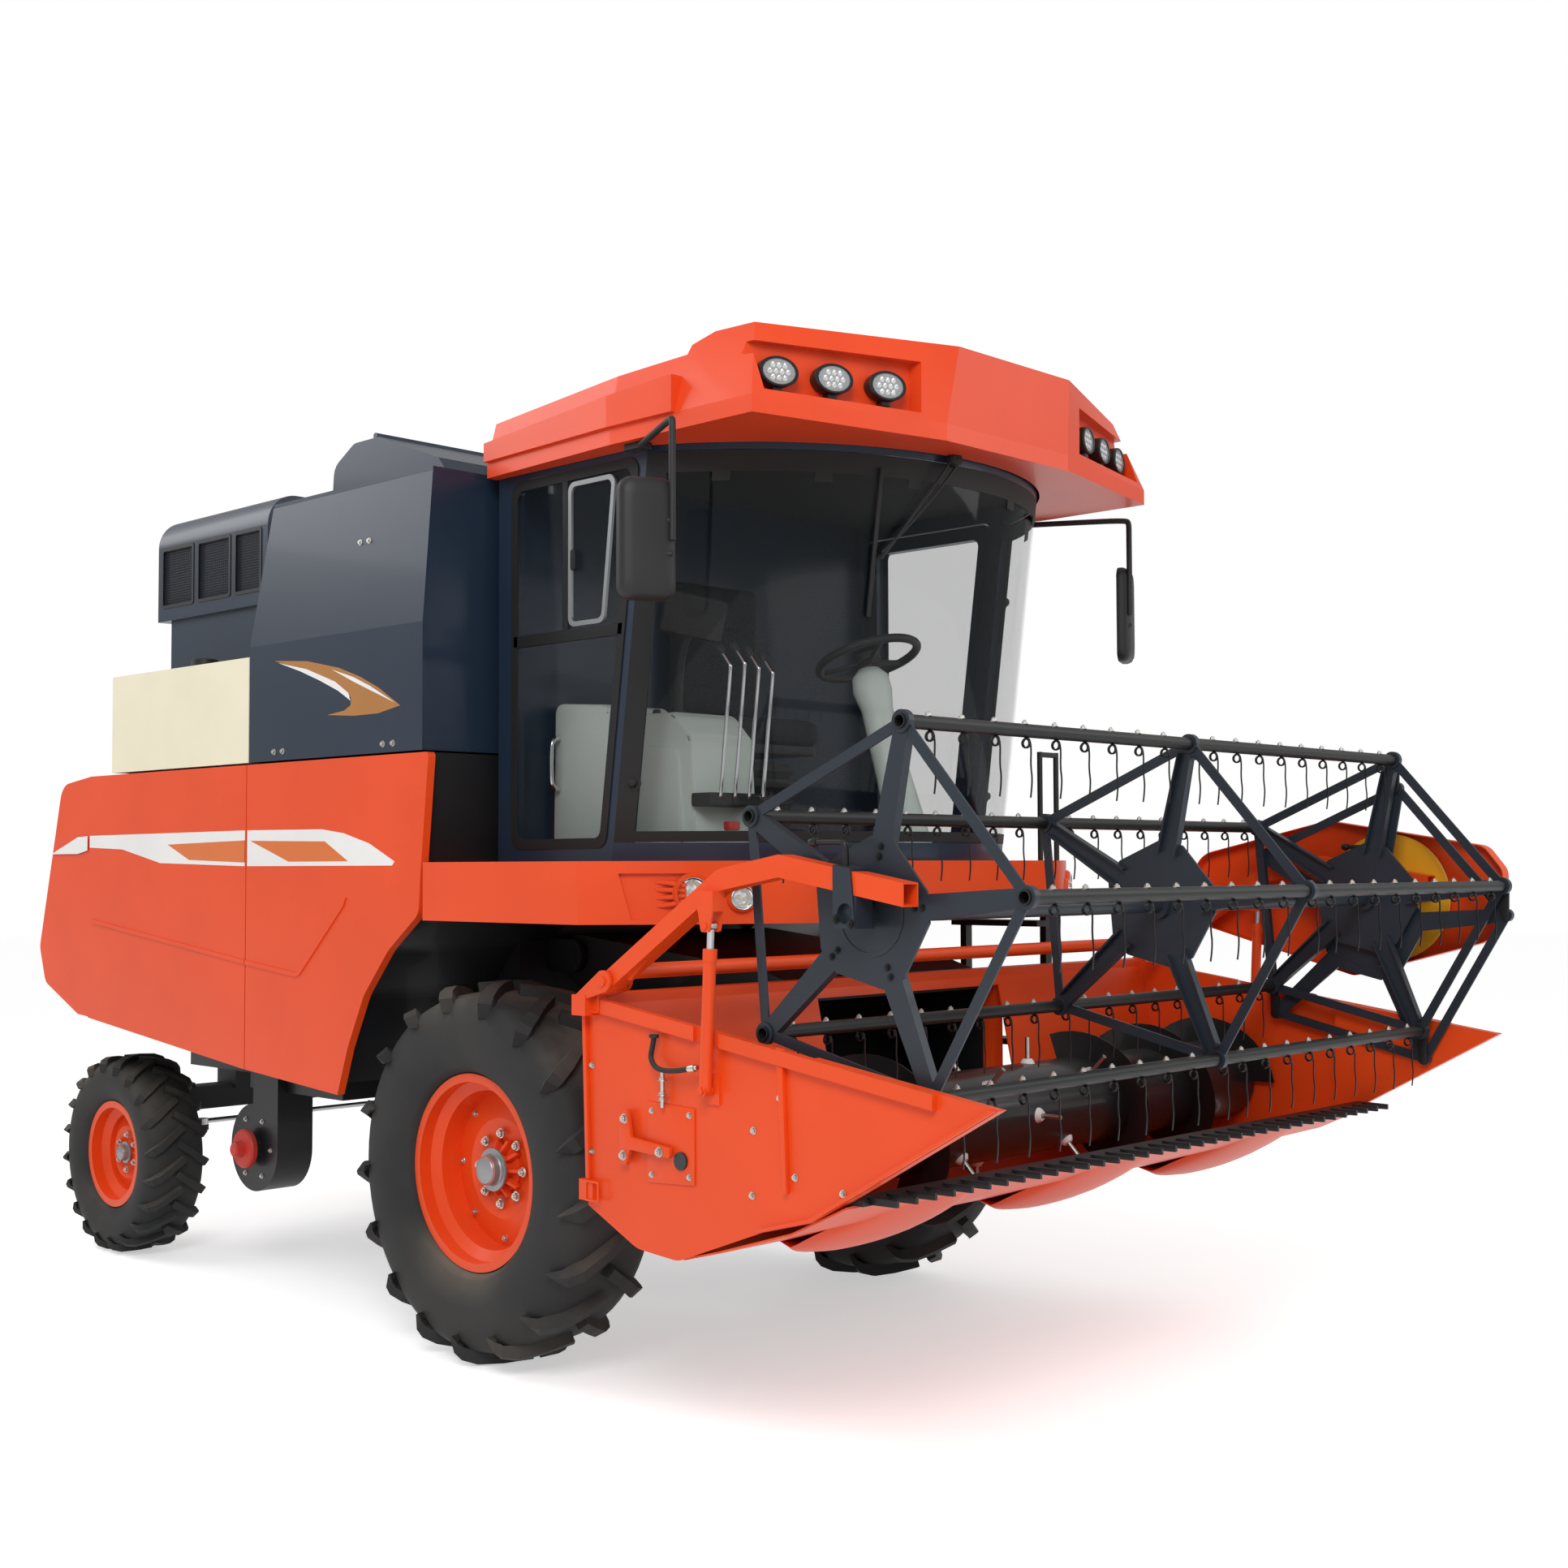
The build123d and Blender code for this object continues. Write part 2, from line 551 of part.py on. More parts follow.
def cab_outline(foot_x, half_w, inset):
    """Plan of the cab at one height: straight sides and a bowed front, set in by a wall."""
    x_back, x_pillar = CAB_REAR_X + inset, foot_x
    half = half_w - inset
    nose = foot_x + WINDSCREEN_BULGE - inset
    sides = Polyline((x_pillar, half), (x_back, half), (x_back, -half), (x_pillar, -half))
    front = ThreePointArc((x_pillar, -half), (nose, 0), (x_pillar, half))
    return make_face(sides + front)


def cab_shell(inset):
    low = Pos(0, 0, CAB_FLOOR_Z) * cab_outline(PILLAR_FOOT_X, CAB_HALF_W, inset)
    high = Pos(0, 0, CAB_TOP_Z) * cab_outline(PILLAR_TOP_X, CAB_HALF_W, inset)
    return loft([low, high], ruled=True)


def lean(z):
    """How far the A-pillar has leaned forward at a height."""
    return (PILLAR_TOP_X - PILLAR_FOOT_X) * (z - CAB_FLOOR_Z) / (CAB_TOP_Z - CAB_FLOOR_Z)


def side_window(x_low, x_back, z_low, z_high, y_low, y_high, grow=0):
    """A window whose front edge runs along the leaning pillar."""
    low, high = z_low - grow, z_high + grow
    rows = [(x_back - grow, low, 30), (x_low + lean(z_low) + grow, low, 30),
            (x_low + lean(z_high) + grow, high, 30), (x_back - grow, high, 30)]
    return side_solid(rows, y_low, y_high)


def windscreen_zone(grow=0):
    """Everything ahead of the A-pillars between sill and header rail."""
    low, high = CAB_FLOOR_Z + 60 - grow, CAB_TOP_Z - 75 + grow
    x = PILLAR_FOOT_X + 35 - grow
    rows = [(x + lean(low), low), (1700, low), (1700, high), (x + lean(high), high)]
    return side_solid(rows, -1000, 1000)


def cab():
    """Hollow cab: frame, fixed glass, and the left-hand door with its own pane."""
    shell = cab_shell(0) - cab_shell(CAB_WALL)
    skin = cab_shell(0) - cab_shell(GLASS_T)
    sill, head = CAB_FLOOR_Z + 55, CAB_TOP_Z - 90
    front, back = PILLAR_FOOT_X - 45, -60
    window = side_window(front, back, sill, head, -1000, -800)
    window_pane = side_window(front, back, sill, head, -1000, -800, -SEAL)
    doorway = side_window(front, back, sill - 30, head + 30, 800, 1000)
    leaf = side_window(front, back, sill - 30, head + 30, CAB_HALF_W - CAB_WALL, CAB_HALF_W, -6)
    light = side_window(front - 50, back + 50, sill + 25, head - 30, 800, 1000)
    pane_y = CAB_HALF_W - 25
    pane = side_window(front - 50, back + 50, sill + 25, head - 30, pane_y, pane_y + GLASS_T, -SEAL)
    eyes, brackets, bores = [], [], []
    x, y = DOOR_HINGE_X, DOOR_HINGE_Y
    for z in (CAB_FLOOR_Z + 160, CAB_TOP_Z - 300):
        brackets += [block((x - 14, x + 14), (CAB_HALF_W - 2, y + 14), (z - 24, z - 2)),
                     rod((x, y, z - 3), (x, y, z + 36), 8)]
        eyes += [rod((x, y, z), (x, y, z + 34), 15), block((x, x + 90), (y - 5, y + 5), (z, z + 34)),
                 block((x + 60, x + 90), (CAB_HALF_W - 10, y + 5), (z, z + 34))]
        bores.append(rod((x, y, z - 5), (x, y, z + 40), 8 + RUN_GAP))
    frame = joined([shell - windscreen_zone() - window - doorway] + brackets)
    leaf = joined([leaf] + eyes).cut(*bores)
    glass = joined([skin & windscreen_zone(-SEAL), skin & window_pane])
    return {"cab_frame": frame, "cab_glass": glass, "cab_door": leaf - light, "cab_door_glass": pane}


def work_lamp_places():
    """Middle of each work lamp's back and the way it faces, in degrees from straight ahead."""
    (x0, y0), (x1, y1) = LAMP_LINE
    turn = math.degrees(math.atan2(x1 - x0, y0 - y1))
    places = []
    for share in (0.177, 0.5, 0.823):
        x, y = x0 + share * (x1 - x0), y0 + share * (y1 - y0)
        places += [(x, side * y, CAB_TOP_Z + 95, side * turn) for side in (-1, 1)]
    return places


def lamp_body(x, y, z, turn, half_w, half_h, start, depth):
    """An oval or round lamp that faces ahead, turned about Z; it begins ahead of the point."""
    face = math.radians(turn)
    ahead = (math.cos(face), math.sin(face), 0)
    origin = (x + start * ahead[0], y + start * ahead[1], z)
    return extrude(Plane(origin=origin, x_dir=(-ahead[1], ahead[0], 0), z_dir=ahead) * Ellipse(half_w,
                                                                                               half_h), depth)


def cab_roof():
    """Moulded roof: a skirt round the cab's head, creased side bands and a peaked visor with lamp recesses."""
    z, top = CAB_TOP_Z + SEAL, CAB_TOP_Z + ROOF_H
    low_rows = [(-150, -1000), (560, -1050), (1206, -1050), (1370, -330), (1370, 330), (1206, 1050),
                (560, 1050),
                (-150, 1000)]
    high_rows = [(-110, -960), (560, -1000), (1130, -960), (1400, -300), (1400, 300), (1130, 960), (560, 1000),
                 (-110, 960)]
    body = loft([Pos(0, 0, z) * outline(low_rows), Pos(0, 0, top) * outline(high_rows)], ruled=True)
    step = z + 191
    rear_cut = side_solid([(-300, z + 127), (868, step), (880, step + 30), (985, top + 5), (-300, top + 5)],
                          -1100, 1100)
    band_rows = [(-150, -1016), (560, -1066), (868, -1066), (868, 1066), (560, 1066), (-150, 1016)]
    band = plan_solid(band_rows, z, z + 121)
    band -= side_solid([(-300, z + 58), (900, z + 119), (900, z + 200), (-300, z + 200)], -1100, 1100)
    cab_hole = Pos(0, 0, z - SKIRT_H - 1) * cab_outline(PILLAR_TOP_X, CAB_HALF_W, -SIDE_GAP)
    skirt = plan_solid(low_rows, z - SKIRT_H, z) - extrude(cab_hole, SKIRT_H + 1)
    (x0, y0), (x1, y1) = LAMP_LINE
    recess = plan_solid([(x0, -y0), (x1, -y1), (1500, -y1), (1500, -y0)], z + 22, z + 185)
    return joined([body - rear_cut, band, skirt]) - joined([recess, mirrored(recess)])


def lamps():
    """Oval work lamps in the visor's recesses and round headlamps in the fairing."""
    pieces = [lamp_body(x, y, z, turn, 68, 47, SEAL, 48) for x, y, z, turn in work_lamp_places()]
    for x, y, z, turn, radius in HEADLAMPS:
        pieces += [lamp_body(x, side * y, z, side * turn, radius, radius, -40, 44) for side in (-1, 1)]
    return joined(pieces)


def deck():
    """Operator's deck with its side beams, seated against the body."""
    half = DECK_HALF_W
    inner = PANEL_HALF_W - 50
    rows = [(-180, -half), (633, -half), (633, half), (-180, half), (-180, CHASSIS_Y + inner),
            (-215.5, CHASSIS_Y + inner), (-215.5, CHASSIS_Y - inner), (-180, CHASSIS_Y - inner)]
    top = CAB_FLOOR_Z - SEAL
    slab = plan_solid(rows, DECK_Z, top)
    hollow = plan_solid([(-120, -half + 60), (560, -half + 60), (560, half - 60), (-120, half - 60)],
                        DECK_Z - 1, top - 40)
    return slab - hollow


def fairing():
    """Curved front panel that wraps from the deck's beams round the cab's foot, with lamp recesses."""
    x0, y0 = 633 + SEAL, DECK_HALF_W
    x1, y1 = 860, 1010
    rows = [(x0, -y0), (x1, -y1, 120), (1065, -700, 300), (1065, 700, 300), (x1, y1, 120), (x0, y0)]
    panel = plan_solid(rows, DECK_Z, CAB_FLOOR_Z - SEAL)
    face = Plane(origin=(x0, -y0, 0), x_dir=(x1 - x0, y0 - y1, 0), z_dir=(y0 - y1, x0 - x1, 0))
    # along the slanted face from its rear edge, z
    recess_rows = [(125, 1606), (345, 1606), (372, 1560), (372, 1500), (345, 1462), (165, 1462)]
    recess = extrude(face * outline(recess_rows), 16, both=True)
    cuts = [recess, mirrored(recess)]
    for x, y, z, turn, radius in HEADLAMPS:
        cuts += [lamp_body(x, side * y, z, side * turn, radius + SEAL, radius + SEAL, -40 - SEAL,
                           90) for side in (-1, 1)]
    return panel - joined(cuts)


def cab_z(share):
    """A height inside the cab as a share of its clear height."""
    return CAB_FLOOR_Z + share * (CAB_TOP_Z - CAB_FLOOR_Z)


def seat():
    """Sprung base, cushion and back rest, each with rounded edges."""
    cushion = block((-60, 330), (-240, 240), (cab_z(0.3), cab_z(0.38)))
    back = block((-96, -6), (-230, 230), (cab_z(0.33), cab_z(0.77)))
    base = block((20, 260), (-150, 150), (CAB_FLOOR_Z + SEAL, cab_z(0.3) + 1))
    return joined([cushion, back, base])


def controls():
    """Steering column and wheel, side console and levers."""
    hub_z = cab_z(0.518)
    tilt = Plane(origin=(686, 60, hub_z), z_dir=(-0.35, 0, 1))
    desk = side_solid([(-80, CAB_FLOOR_Z + SEAL), (620, CAB_FLOOR_Z + SEAL, 20), (600, cab_z(0.36), 30),
                       (430, cab_z(0.375), 30), (400, cab_z(0.34)), (-80, cab_z(0.34))], -760, -420)
    pieces = [rod((880, 60, CAB_FLOOR_Z + 20), (700, 60, hub_z - 38), 55),
              block((800, 960), (-20, 140), (CAB_FLOOR_Z + SEAL, CAB_FLOOR_Z + 60)),
              tilt * Torus(180, 16), tilt * Box(360, 30, 14), rod((702, 60, hub_z - 48), (686, 60, hub_z),
                                                                  30), desk]
    for index in range(4):
        x, y = 460 + 34 * index, -470 - 50 * index
        pieces.append(rod((x, y, cab_z(0.33)), (x + 40, y, cab_z(0.55)), 9))
        pieces.append(rod((x + 40, y, cab_z(0.55) - 4), (x - 10, y, cab_z(0.58)), 9))
    return joined(pieces)


def mirrors():
    """Rear-view mirrors on bent arms from the cab's front corners, turned towards the driver."""
    under = CAB_TOP_Z + SEAL - SKIRT_H
    top = under - 14
    elbow = (1030, -1210, top - 4)
    foot = (1030, -1210, CAB_TOP_Z - 440)
    head = fillet(Box(50, 180, 370).edges().filter_by(Axis.X), 40)
    right = joined([rod((640, -1000, top), elbow, 11), rod(elbow, foot, 11), Pos(*elbow) * Sphere(11),
                    block((600, 680), (-1025, -975), (top - 8, under - SEAL)),
                    Pos(978, -1264, CAB_TOP_Z - 435) * Rot(0, 0, -25.5) * head])
    return joined([right, mirrored(right)])


def ladder():
    """Steps hung from the deck's left edge, with a handrail on the front stile."""
    y0, y1 = DECK_HALF_W, DECK_HALF_W + 40
    pieces = []
    for x in (150, 560):
        pieces.append(block((x, x + 30), (y0 + SEAL, y1), (640, 1600)))
    for z in (660, 900, 1140, 1380):
        pieces.append(block((150, 590), (y0 - 60, y1), (z, z + 24)))
    x, low, high = 575, 1180, CAB_FLOOR_Z + 430
    # two ends of each run
    runs = (((y1 - 1, low), (y1 + 60, low)), ((y1 + 60, low - 11), (y1 + 60, high + 11)),
            ((y1 + 60, high), (y0 - 10, high)), ((y0 - 10, high + 11), (y0 - 10, CAB_FLOOR_Z)))
    for start, end in runs:
        pieces.append(rod((x, *start), (x, *end), 11))
    return joined(pieces)


# Header

def pan_rows(offset):
    """Side view of the sheet under the auger, from the cutter bar up to the rear beam."""
    rows = [(CUTTER_X - 40, CUTTER_Z - 12 - SEAL - offset), (1700, 665 - offset, 60)]
    for degrees in (-60, -90, -120, -150, -175):
        x, z = polar(AUGER_FLIGHT_R + 28 + offset, degrees, AUGER_X, AUGER_Z)
        rows.append((x, z))
    rows.append((BACK_X + 60 - offset, BACK_TOP_Z - 30))
    return rows


def header_frame():
    """Pan, back sheet, rear beams, the two end plates with their dividers, and the arm brackets."""
    half = HEADER_HALF_W - PLATE_T
    sheet = side_solid(pan_rows(0) + pan_rows(PLATE_T)[::-1], -half, half)
    window = block((BACK_X - 60, BACK_X + 250), (-FEEDER_HALF_W + 20, FEEDER_HALF_W - 20), (900, 1196))
    pieces = [sheet - window]
    left_end, right_end = FAR_ARM_Y + ARM_TUBE / 2 + 18, -ARM_Y - ARM_TUBE / 2 - 18
    pieces.append(block((BACK_X, BACK_X + 60), (right_end, left_end), (BACK_TOP_Z - 60, BACK_TOP_Z)))
    pieces.append(block((BACK_X, BACK_X + 60), (-HEADER_HALF_W - 20, HEADER_HALF_W + 20), (660, 720)))
    for side in (-1, 1):
        pieces.append(block((BACK_X, BACK_X + 50), (side * (FEEDER_HALF_W - 25), side * (FEEDER_HALF_W + 25)),
                            (700, BACK_TOP_Z - 30)))
    plate_rows = [(BACK_X, BACK_TOP_Z), (887, 643), (1100, 545, 120), (1269, PAN_BOTTOM_Z, 100), (1594, 653),
                  (1780, 702), (TIP_X, TIP_Z)]
    nose_rows = [(1780, 702), (TIP_X, TIP_Z), (1780, 1127)]
    for side in (-1, 1):
        y = side * HEADER_HALF_W
        plate = side_solid(plate_rows, min(y, y - side * PLATE_T), max(y, y - side * PLATE_T))
        nose = side_solid(nose_rows, min(y, y - side * DIVIDER_T), max(y, y - side * DIVIDER_T))
        rail = side_solid([(BACK_X, BACK_TOP_Z), (BACK_X, BACK_TOP_Z - 40), (TIP_X - 190, TIP_Z - 14),
                           (TIP_X - 190, TIP_Z + 26)], min(y - side * PLATE_T, y + side * 20),
                          max(y - side * PLATE_T, y + side * 20))
        notch = block((REEL_CYL_BASE[0] - 60, REEL_CYL_BASE[0] + 38), (y + side * 7, y + side * 40),
                      (1000, 1300))
        pieces += [plate, nose, rail - notch]
    for centre in (-ARM_Y, FAR_ARM_Y):
        for ear in (-1, 1):
            ear_y = centre + ear * (ARM_TUBE / 2 + SIDE_GAP + 5)
            rows = [(BACK_X, BACK_TOP_Z - 10), (BACK_X + 60, BACK_TOP_Z - 10), (ARM_PIVOT_X + 10,
                                                                                ARM_PIVOT_Z - 30),
                    (ARM_PIVOT_X - 14, ARM_PIVOT_Z + 28)]
            pieces.append(side_solid(rows, ear_y - 5, ear_y + 5))
            pieces.append(rod((ARM_PIVOT_X, ear_y - 5, ARM_PIVOT_Z), (ARM_PIVOT_X, ear_y + 5, ARM_PIVOT_Z),
                              32))
        reach = ARM_TUBE / 2 + SIDE_GAP + 16
        pieces.append(rod((ARM_PIVOT_X, centre - reach, ARM_PIVOT_Z), (ARM_PIVOT_X, centre + reach,
                                                                       ARM_PIVOT_Z), ARM_PIN_R))
    x, z = REEL_CYL_BASE
    for side in (-1, 1):
        y = side * REEL_CYL_Y
        pieces.append(rod((x, side * (HEADER_HALF_W - 2), z), (x, y + side * (REEL_CYL_R + 4), z), 9))
        pieces.append(block((x - 30, x + 30), (side * (HEADER_HALF_W - 2), side * (HEADER_HALF_W + 8)),
                            (z - 40, z + 40)))
    frame = joined(pieces)
    bores = [rod((AUGER_X, side * (HEADER_HALF_W - 40), AUGER_Z), (AUGER_X, side * (HEADER_HALF_W + 30),
                                                                   AUGER_Z),
                 AUGER_STUB_R + RUN_GAP) for side in (-1, 1)]
    return frame.cut(*bores)


def feeder_house():
    """Sloping box that carries the crop from the header to the thresher, with the lift ears below."""
    half = FEEDER_HALF_W
    rows = [(FEEDER_PIVOT_X - 90, FEEDER_PIVOT_Z - 60, 40), (FEEDER_PIVOT_X - 20, FEEDER_PIVOT_Z + 80, 40),
            (700, 1280), (BACK_X - SEAL, 1230), (BACK_X - SEAL, 760), (600, 760)]
    hollow = [(300, 1180), (BACK_X + 5, 1180), (BACK_X + 5, 860), (500, 860)]
    pieces = [side_solid(rows, -half, half) - side_solid(hollow, -half + 30, half - 30)]
    pieces.append(rod((FEEDER_PIVOT_X, -half - 30, FEEDER_PIVOT_Z), (FEEDER_PIVOT_X, half + 30,
                                                                     FEEDER_PIVOT_Z),
                      FEEDER_PIN_R))
    x, z = LIFT_EYE
    for side in (-1, 1):
        for ear in (-1, 1):
            ear_y = side * LIFT_Y + ear * (LIFT_R + SIDE_GAP + 5)
            ear_rows = [(x - 50, 765), (x - 24, z - 24, 12), (x + 24, z - 24, 12), (x + 50, 765)]
            pieces.append(side_solid(ear_rows, ear_y - 5, ear_y + 5))
            pieces.append(rod((x, ear_y + ear * 4, z), (x, ear_y + ear * 12, z), 16))
    return joined(pieces)


def cutter_bar():
    """Knife bar with its pointed guards."""
    half = HEADER_HALF_W - DIVIDER_T - 6
    z = CUTTER_Z
    pieces = [block((CUTTER_X - 70, CUTTER_X - 10), (-half, half), (z - 12, z + 4))]
    count = int(2 * half // GUARD_PITCH)
    for index in range(count):
        y = (index - (count - 1) / 2) * GUARD_PITCH
        rows = [(CUTTER_X - 20, y - 16), (CUTTER_X + 70, y - 5), (CUTTER_X + 70, y + 5), (CUTTER_X - 20,
                                                                                          y + 16)]
        pieces.append(plan_solid(rows, z - 10, z + 8))
    return joined(pieces)


def header_auger():
    """Drum with opposed flights at its ends and retracting fingers in its middle."""
    half = HEADER_HALF_W - PLATE_T - 12
    stub = HEADER_HALF_W + 12
    pieces = [rod((AUGER_X, -half, AUGER_Z), (AUGER_X, half, AUGER_Z), AUGER_DRUM_R),
              rod((AUGER_X, -stub, AUGER_Z), (AUGER_X, stub, AUGER_Z), AUGER_STUB_R)]
    step = 45
    tilt = math.degrees(math.atan2(AUGER_PITCH, 2 * math.pi * AUGER_FLIGHT_R * 0.8))
    count = int((half - FEEDER_HALF_W * 0.8) / AUGER_PITCH * 360 / step)
    for side in (-1, 1):
        for index in range(count):
            y = side * (half - 50 - (index + 0.5) * AUGER_PITCH * step / 360)
            reach = AUGER_FLIGHT_R * math.tan(math.radians(step / 2))
            blade = Box(2 * reach, 5, AUGER_FLIGHT_R - AUGER_DRUM_R + 20,
                        align=(Align.CENTER, Align.CENTER, Align.MIN))
            blade = Pos(0, 0, AUGER_DRUM_R - 20) * Rot(0, 0, side * tilt) * blade
            blade &= Rot(90, 0, 0) * Cylinder(AUGER_FLIGHT_R, 400)
            pieces.append(Pos(AUGER_X, y, AUGER_Z) * Rot(0, side * index * step, 0) * blade)
    for index in range(12):
        y = (index - 5.5) * 70
        finger = rod((0, y, 0), (0, y, AUGER_FLIGHT_R - 4), 8)
        pieces.append(Pos(AUGER_X, 0, AUGER_Z) * Rot(0, index * 135, 0) * finger)
    return joined(pieces)


# Reel

def bar_places(x=REEL_X, z=REEL_Z):
    return [polar(REEL_R, BAR_PHASE - index * 360 / BAR_COUNT, x, z) for index in range(BAR_COUNT)]


def spider(x, z, y, bore_r, eye_r, boss_r, channel):
    """A ten-sided plate with tapered arms, an eye at each tip and flat braces between the tips."""
    thick = SPIDER_T
    tips = bar_places(x, z)
    corners = []
    pieces = []
    for index, (tip_x, tip_z) in enumerate(tips):
        angle = BAR_PHASE - index * 360 / BAR_COUNT
        corners += [polar(PLATE_CORNER_R, angle + swing, x, z) for swing in (PLATE_SWING, -PLATE_SWING)]
        rows = [(PLATE_CORNER_R - 40, -34), (REEL_R - boss_r * 0.6, -24), (REEL_R - boss_r * 0.6, 24),
                (PLATE_CORNER_R - 40, 34)]
        arm = side_solid(rows, -thick / 2, thick / 2)
        if channel:
            end = REEL_R - BAR_R - 14
            flanges = side_solid([(PLATE_CORNER_R - 40, -34), (end, -24), (end, 24), (PLATE_CORNER_R - 40,
                                                                                      34)],
                                 min(0, channel), max(0, channel))
            flanges -= side_solid([(0, -30), (end + 1, -20), (end + 1, 20), (0, 30)], -60, 60)
            arm = arm + flanges
        pieces.append(Pos(x, y, z) * Rot(0, -angle, 0) * arm)
        pieces.append(rod((tip_x, y - BOSS_HALF, tip_z), (tip_x, y + BOSS_HALF, tip_z), boss_r))
        next_x, next_z = tips[(index + 1) % BAR_COUNT]
        pieces.append(beam((tip_x, y, tip_z), (next_x, y, next_z), thick * 0.8, 30))
    pieces.append(side_solid(corners, y - thick / 2, y + thick / 2))
    star = joined(pieces)
    cuts = [rod((tip_x, y - 20, tip_z), (tip_x, y + 20, tip_z), eye_r) for tip_x, tip_z in tips]
    cuts.append(rod((x, y - 20, z), (x, y + 20, z), bore_r))
    return star.cut(*cuts)


def reel_frame():
    """Three spiders on one shaft, each with a pressed ring and a collar."""
    pieces = []
    # y, side of the arms' turned flanges
    for y, side in ((REEL_RIGHT_Y, 1), (0, -1), (REEL_LEFT_Y, -1)):
        pieces.append(spider(REEL_X, REEL_Z, y, SHAFT_R - 2, BAR_R + RUN_GAP, 30, side * FLANGE_W))
        pieces.append(rod((REEL_X, y, REEL_Z), (REEL_X, y + side * FLANGE_W, REEL_Z), 44))
        ring = rod((REEL_X, y, REEL_Z), (REEL_X, y - side * (SPIDER_T / 2 + 2), REEL_Z), PRESSED_RING_R)
        pieces.append(ring - rod((REEL_X, y - 40, REEL_Z), (REEL_X, y + 40, REEL_Z), PRESSED_RING_R - 12))
    pieces.append(rod((REEL_X, -ARM_Y - 20, REEL_Z), (REEL_X, GUARD_Y + 24, REEL_Z), SHAFT_R))
    return joined(pieces)


def tine_bar(x, z):
    """Tube with its hanging spring tines and, at the left, the crank that keeps them upright."""
    pieces = [rod((x, REEL_RIGHT_Y - 16, z), (x, CRANK_Y + CRANK_T, z), BAR_R)]
    span = REEL_LEFT_Y - REEL_RIGHT_Y
    count = int((span - 80) // TINE_PITCH) + 1
    for index in range(count):
        y = REEL_RIGHT_Y + span / 2 + (index - (count - 1) / 2) * TINE_PITCH
        if abs(y) < BOSS_HALF + 10:
            y += 2 * BOSS_HALF + 10
        pieces.append(side_solid([(x + 18, z - 30), (x, z - 52), (x + 12, z - TINE_DROP),
                                  (x + 6, z - TINE_DROP),
                                  (x - 18, z - 30), (x, z - 12)], y - 3, y + 3))
    pieces.append(side_solid([(x - 18, z + 10, 8), (x - 14, z - CRANK - 14, 8), (x + 14, z - CRANK - 14, 8),
                              (x + 18, z + 10, 8)], CRANK_Y, CRANK_Y + CRANK_T))
    pieces.append(rod((x, CRANK_Y + 1, z - CRANK), (x, STAR_Y + BOSS_HALF + 2, z - CRANK), PIN_R))
    return joined(pieces)


def eccentric_spider():
    """The offset star that holds the cranks' pins."""
    return spider(REEL_X, REEL_Z - CRANK, STAR_Y, CARRIER_R + RUN_GAP, PIN_R + RUN_GAP, 22, 0)


def arm_path():
    """Centre line of the bent reel arm as (x, z) points."""
    return [(ARM_PIVOT_X, ARM_PIVOT_Z), (1460, 1590), (1690, 1628), (2121, 1555)]


def arm_tube_rows(half):
    """Side view of the bent square-tube reel arm."""
    rows = []
    for sign in (1, -1):
        edge = [(x, z + sign * half) for x, z in arm_path()]
        edge[1] = (*edge[1], 120)
        rows += edge if sign > 0 else edge[::-1]
    return rows


def arm_height(x):
    """Height of the arm's centre line over its straight front run."""
    (x0, z0), (x1, z1) = arm_path()[-2:]
    return z0 + (z1 - z0) * (x - x0) / (x1 - x0)


def reel_arms():
    """Both reel arms, open at their front ends, and the tube across them."""
    pieces = []
    half = ARM_TUBE / 2
    tip_x, tip_z = arm_path()[-1]
    for centre in (-ARM_Y, FAR_ARM_Y):
        low, high = centre - half, centre + half
        hollow = beam((1990, centre, arm_height(1990)), (tip_x + 60, centre, arm_height(tip_x + 60)),
                      ARM_TUBE - 8, ARM_TUBE - 8)
        pieces.append(side_solid(arm_tube_rows(half), low, high) - hollow)
        pieces.append(rod((ARM_PIVOT_X, low, ARM_PIVOT_Z), (ARM_PIVOT_X, high, ARM_PIVOT_Z), half))
        gusset = [(CROSS_X - 20, CROSS_Z), (CROSS_X + 14, CROSS_Z - 28, 12), (CROSS_X + 56, CROSS_Z + 10, 12),
                  (1270, 1460), (1200, 1440)]
        pieces.append(side_solid(gusset, centre - 6, centre + 6))
    pieces.append(rod((CROSS_X, -ARM_Y, CROSS_Z), (CROSS_X, FAR_ARM_Y, CROSS_Z), 22))
    x, z = REEL_CYL_EYE
    for side in (-1, 1):
        y = side * REEL_CYL_Y
        reach = REEL_ROD_R + 2 + SIDE_GAP + 6
        pieces.append(block((x - 30, x + 30), (y - reach, y + reach), (z + 40, z + 96)))
        for ear in (-1, 1):
            ear_y = y + ear * (reach - 3)
            ear_rows = [(x - 30, z + 50), (x - 16, z - 16, 8), (x + 16, z - 16, 8), (x + 30, z + 50)]
            pieces.append(side_solid(ear_rows, ear_y - 3, ear_y + 3))
            pieces.append(rod((x, ear_y + ear * 2, z), (x, ear_y + ear * 8, z), 9))
    for x, z in ((1220, 1437), (1620, 1612)):
        pieces.append(block((x - 20, x + 20), (FAR_ARM_Y + half - 1, GUARD_Y + GUARD_DEPTH - GUARD_T - SEAL),
                            (z - 12, z + 12)))
    bores = [rod((ARM_PIVOT_X, centre - half - 5, ARM_PIVOT_Z), (ARM_PIVOT_X, centre + half + 5, ARM_PIVOT_Z),
                 ARM_PIN_R + RUN_GAP) for centre in (-ARM_Y, FAR_ARM_Y)]
    return joined(pieces).cut(*bores)


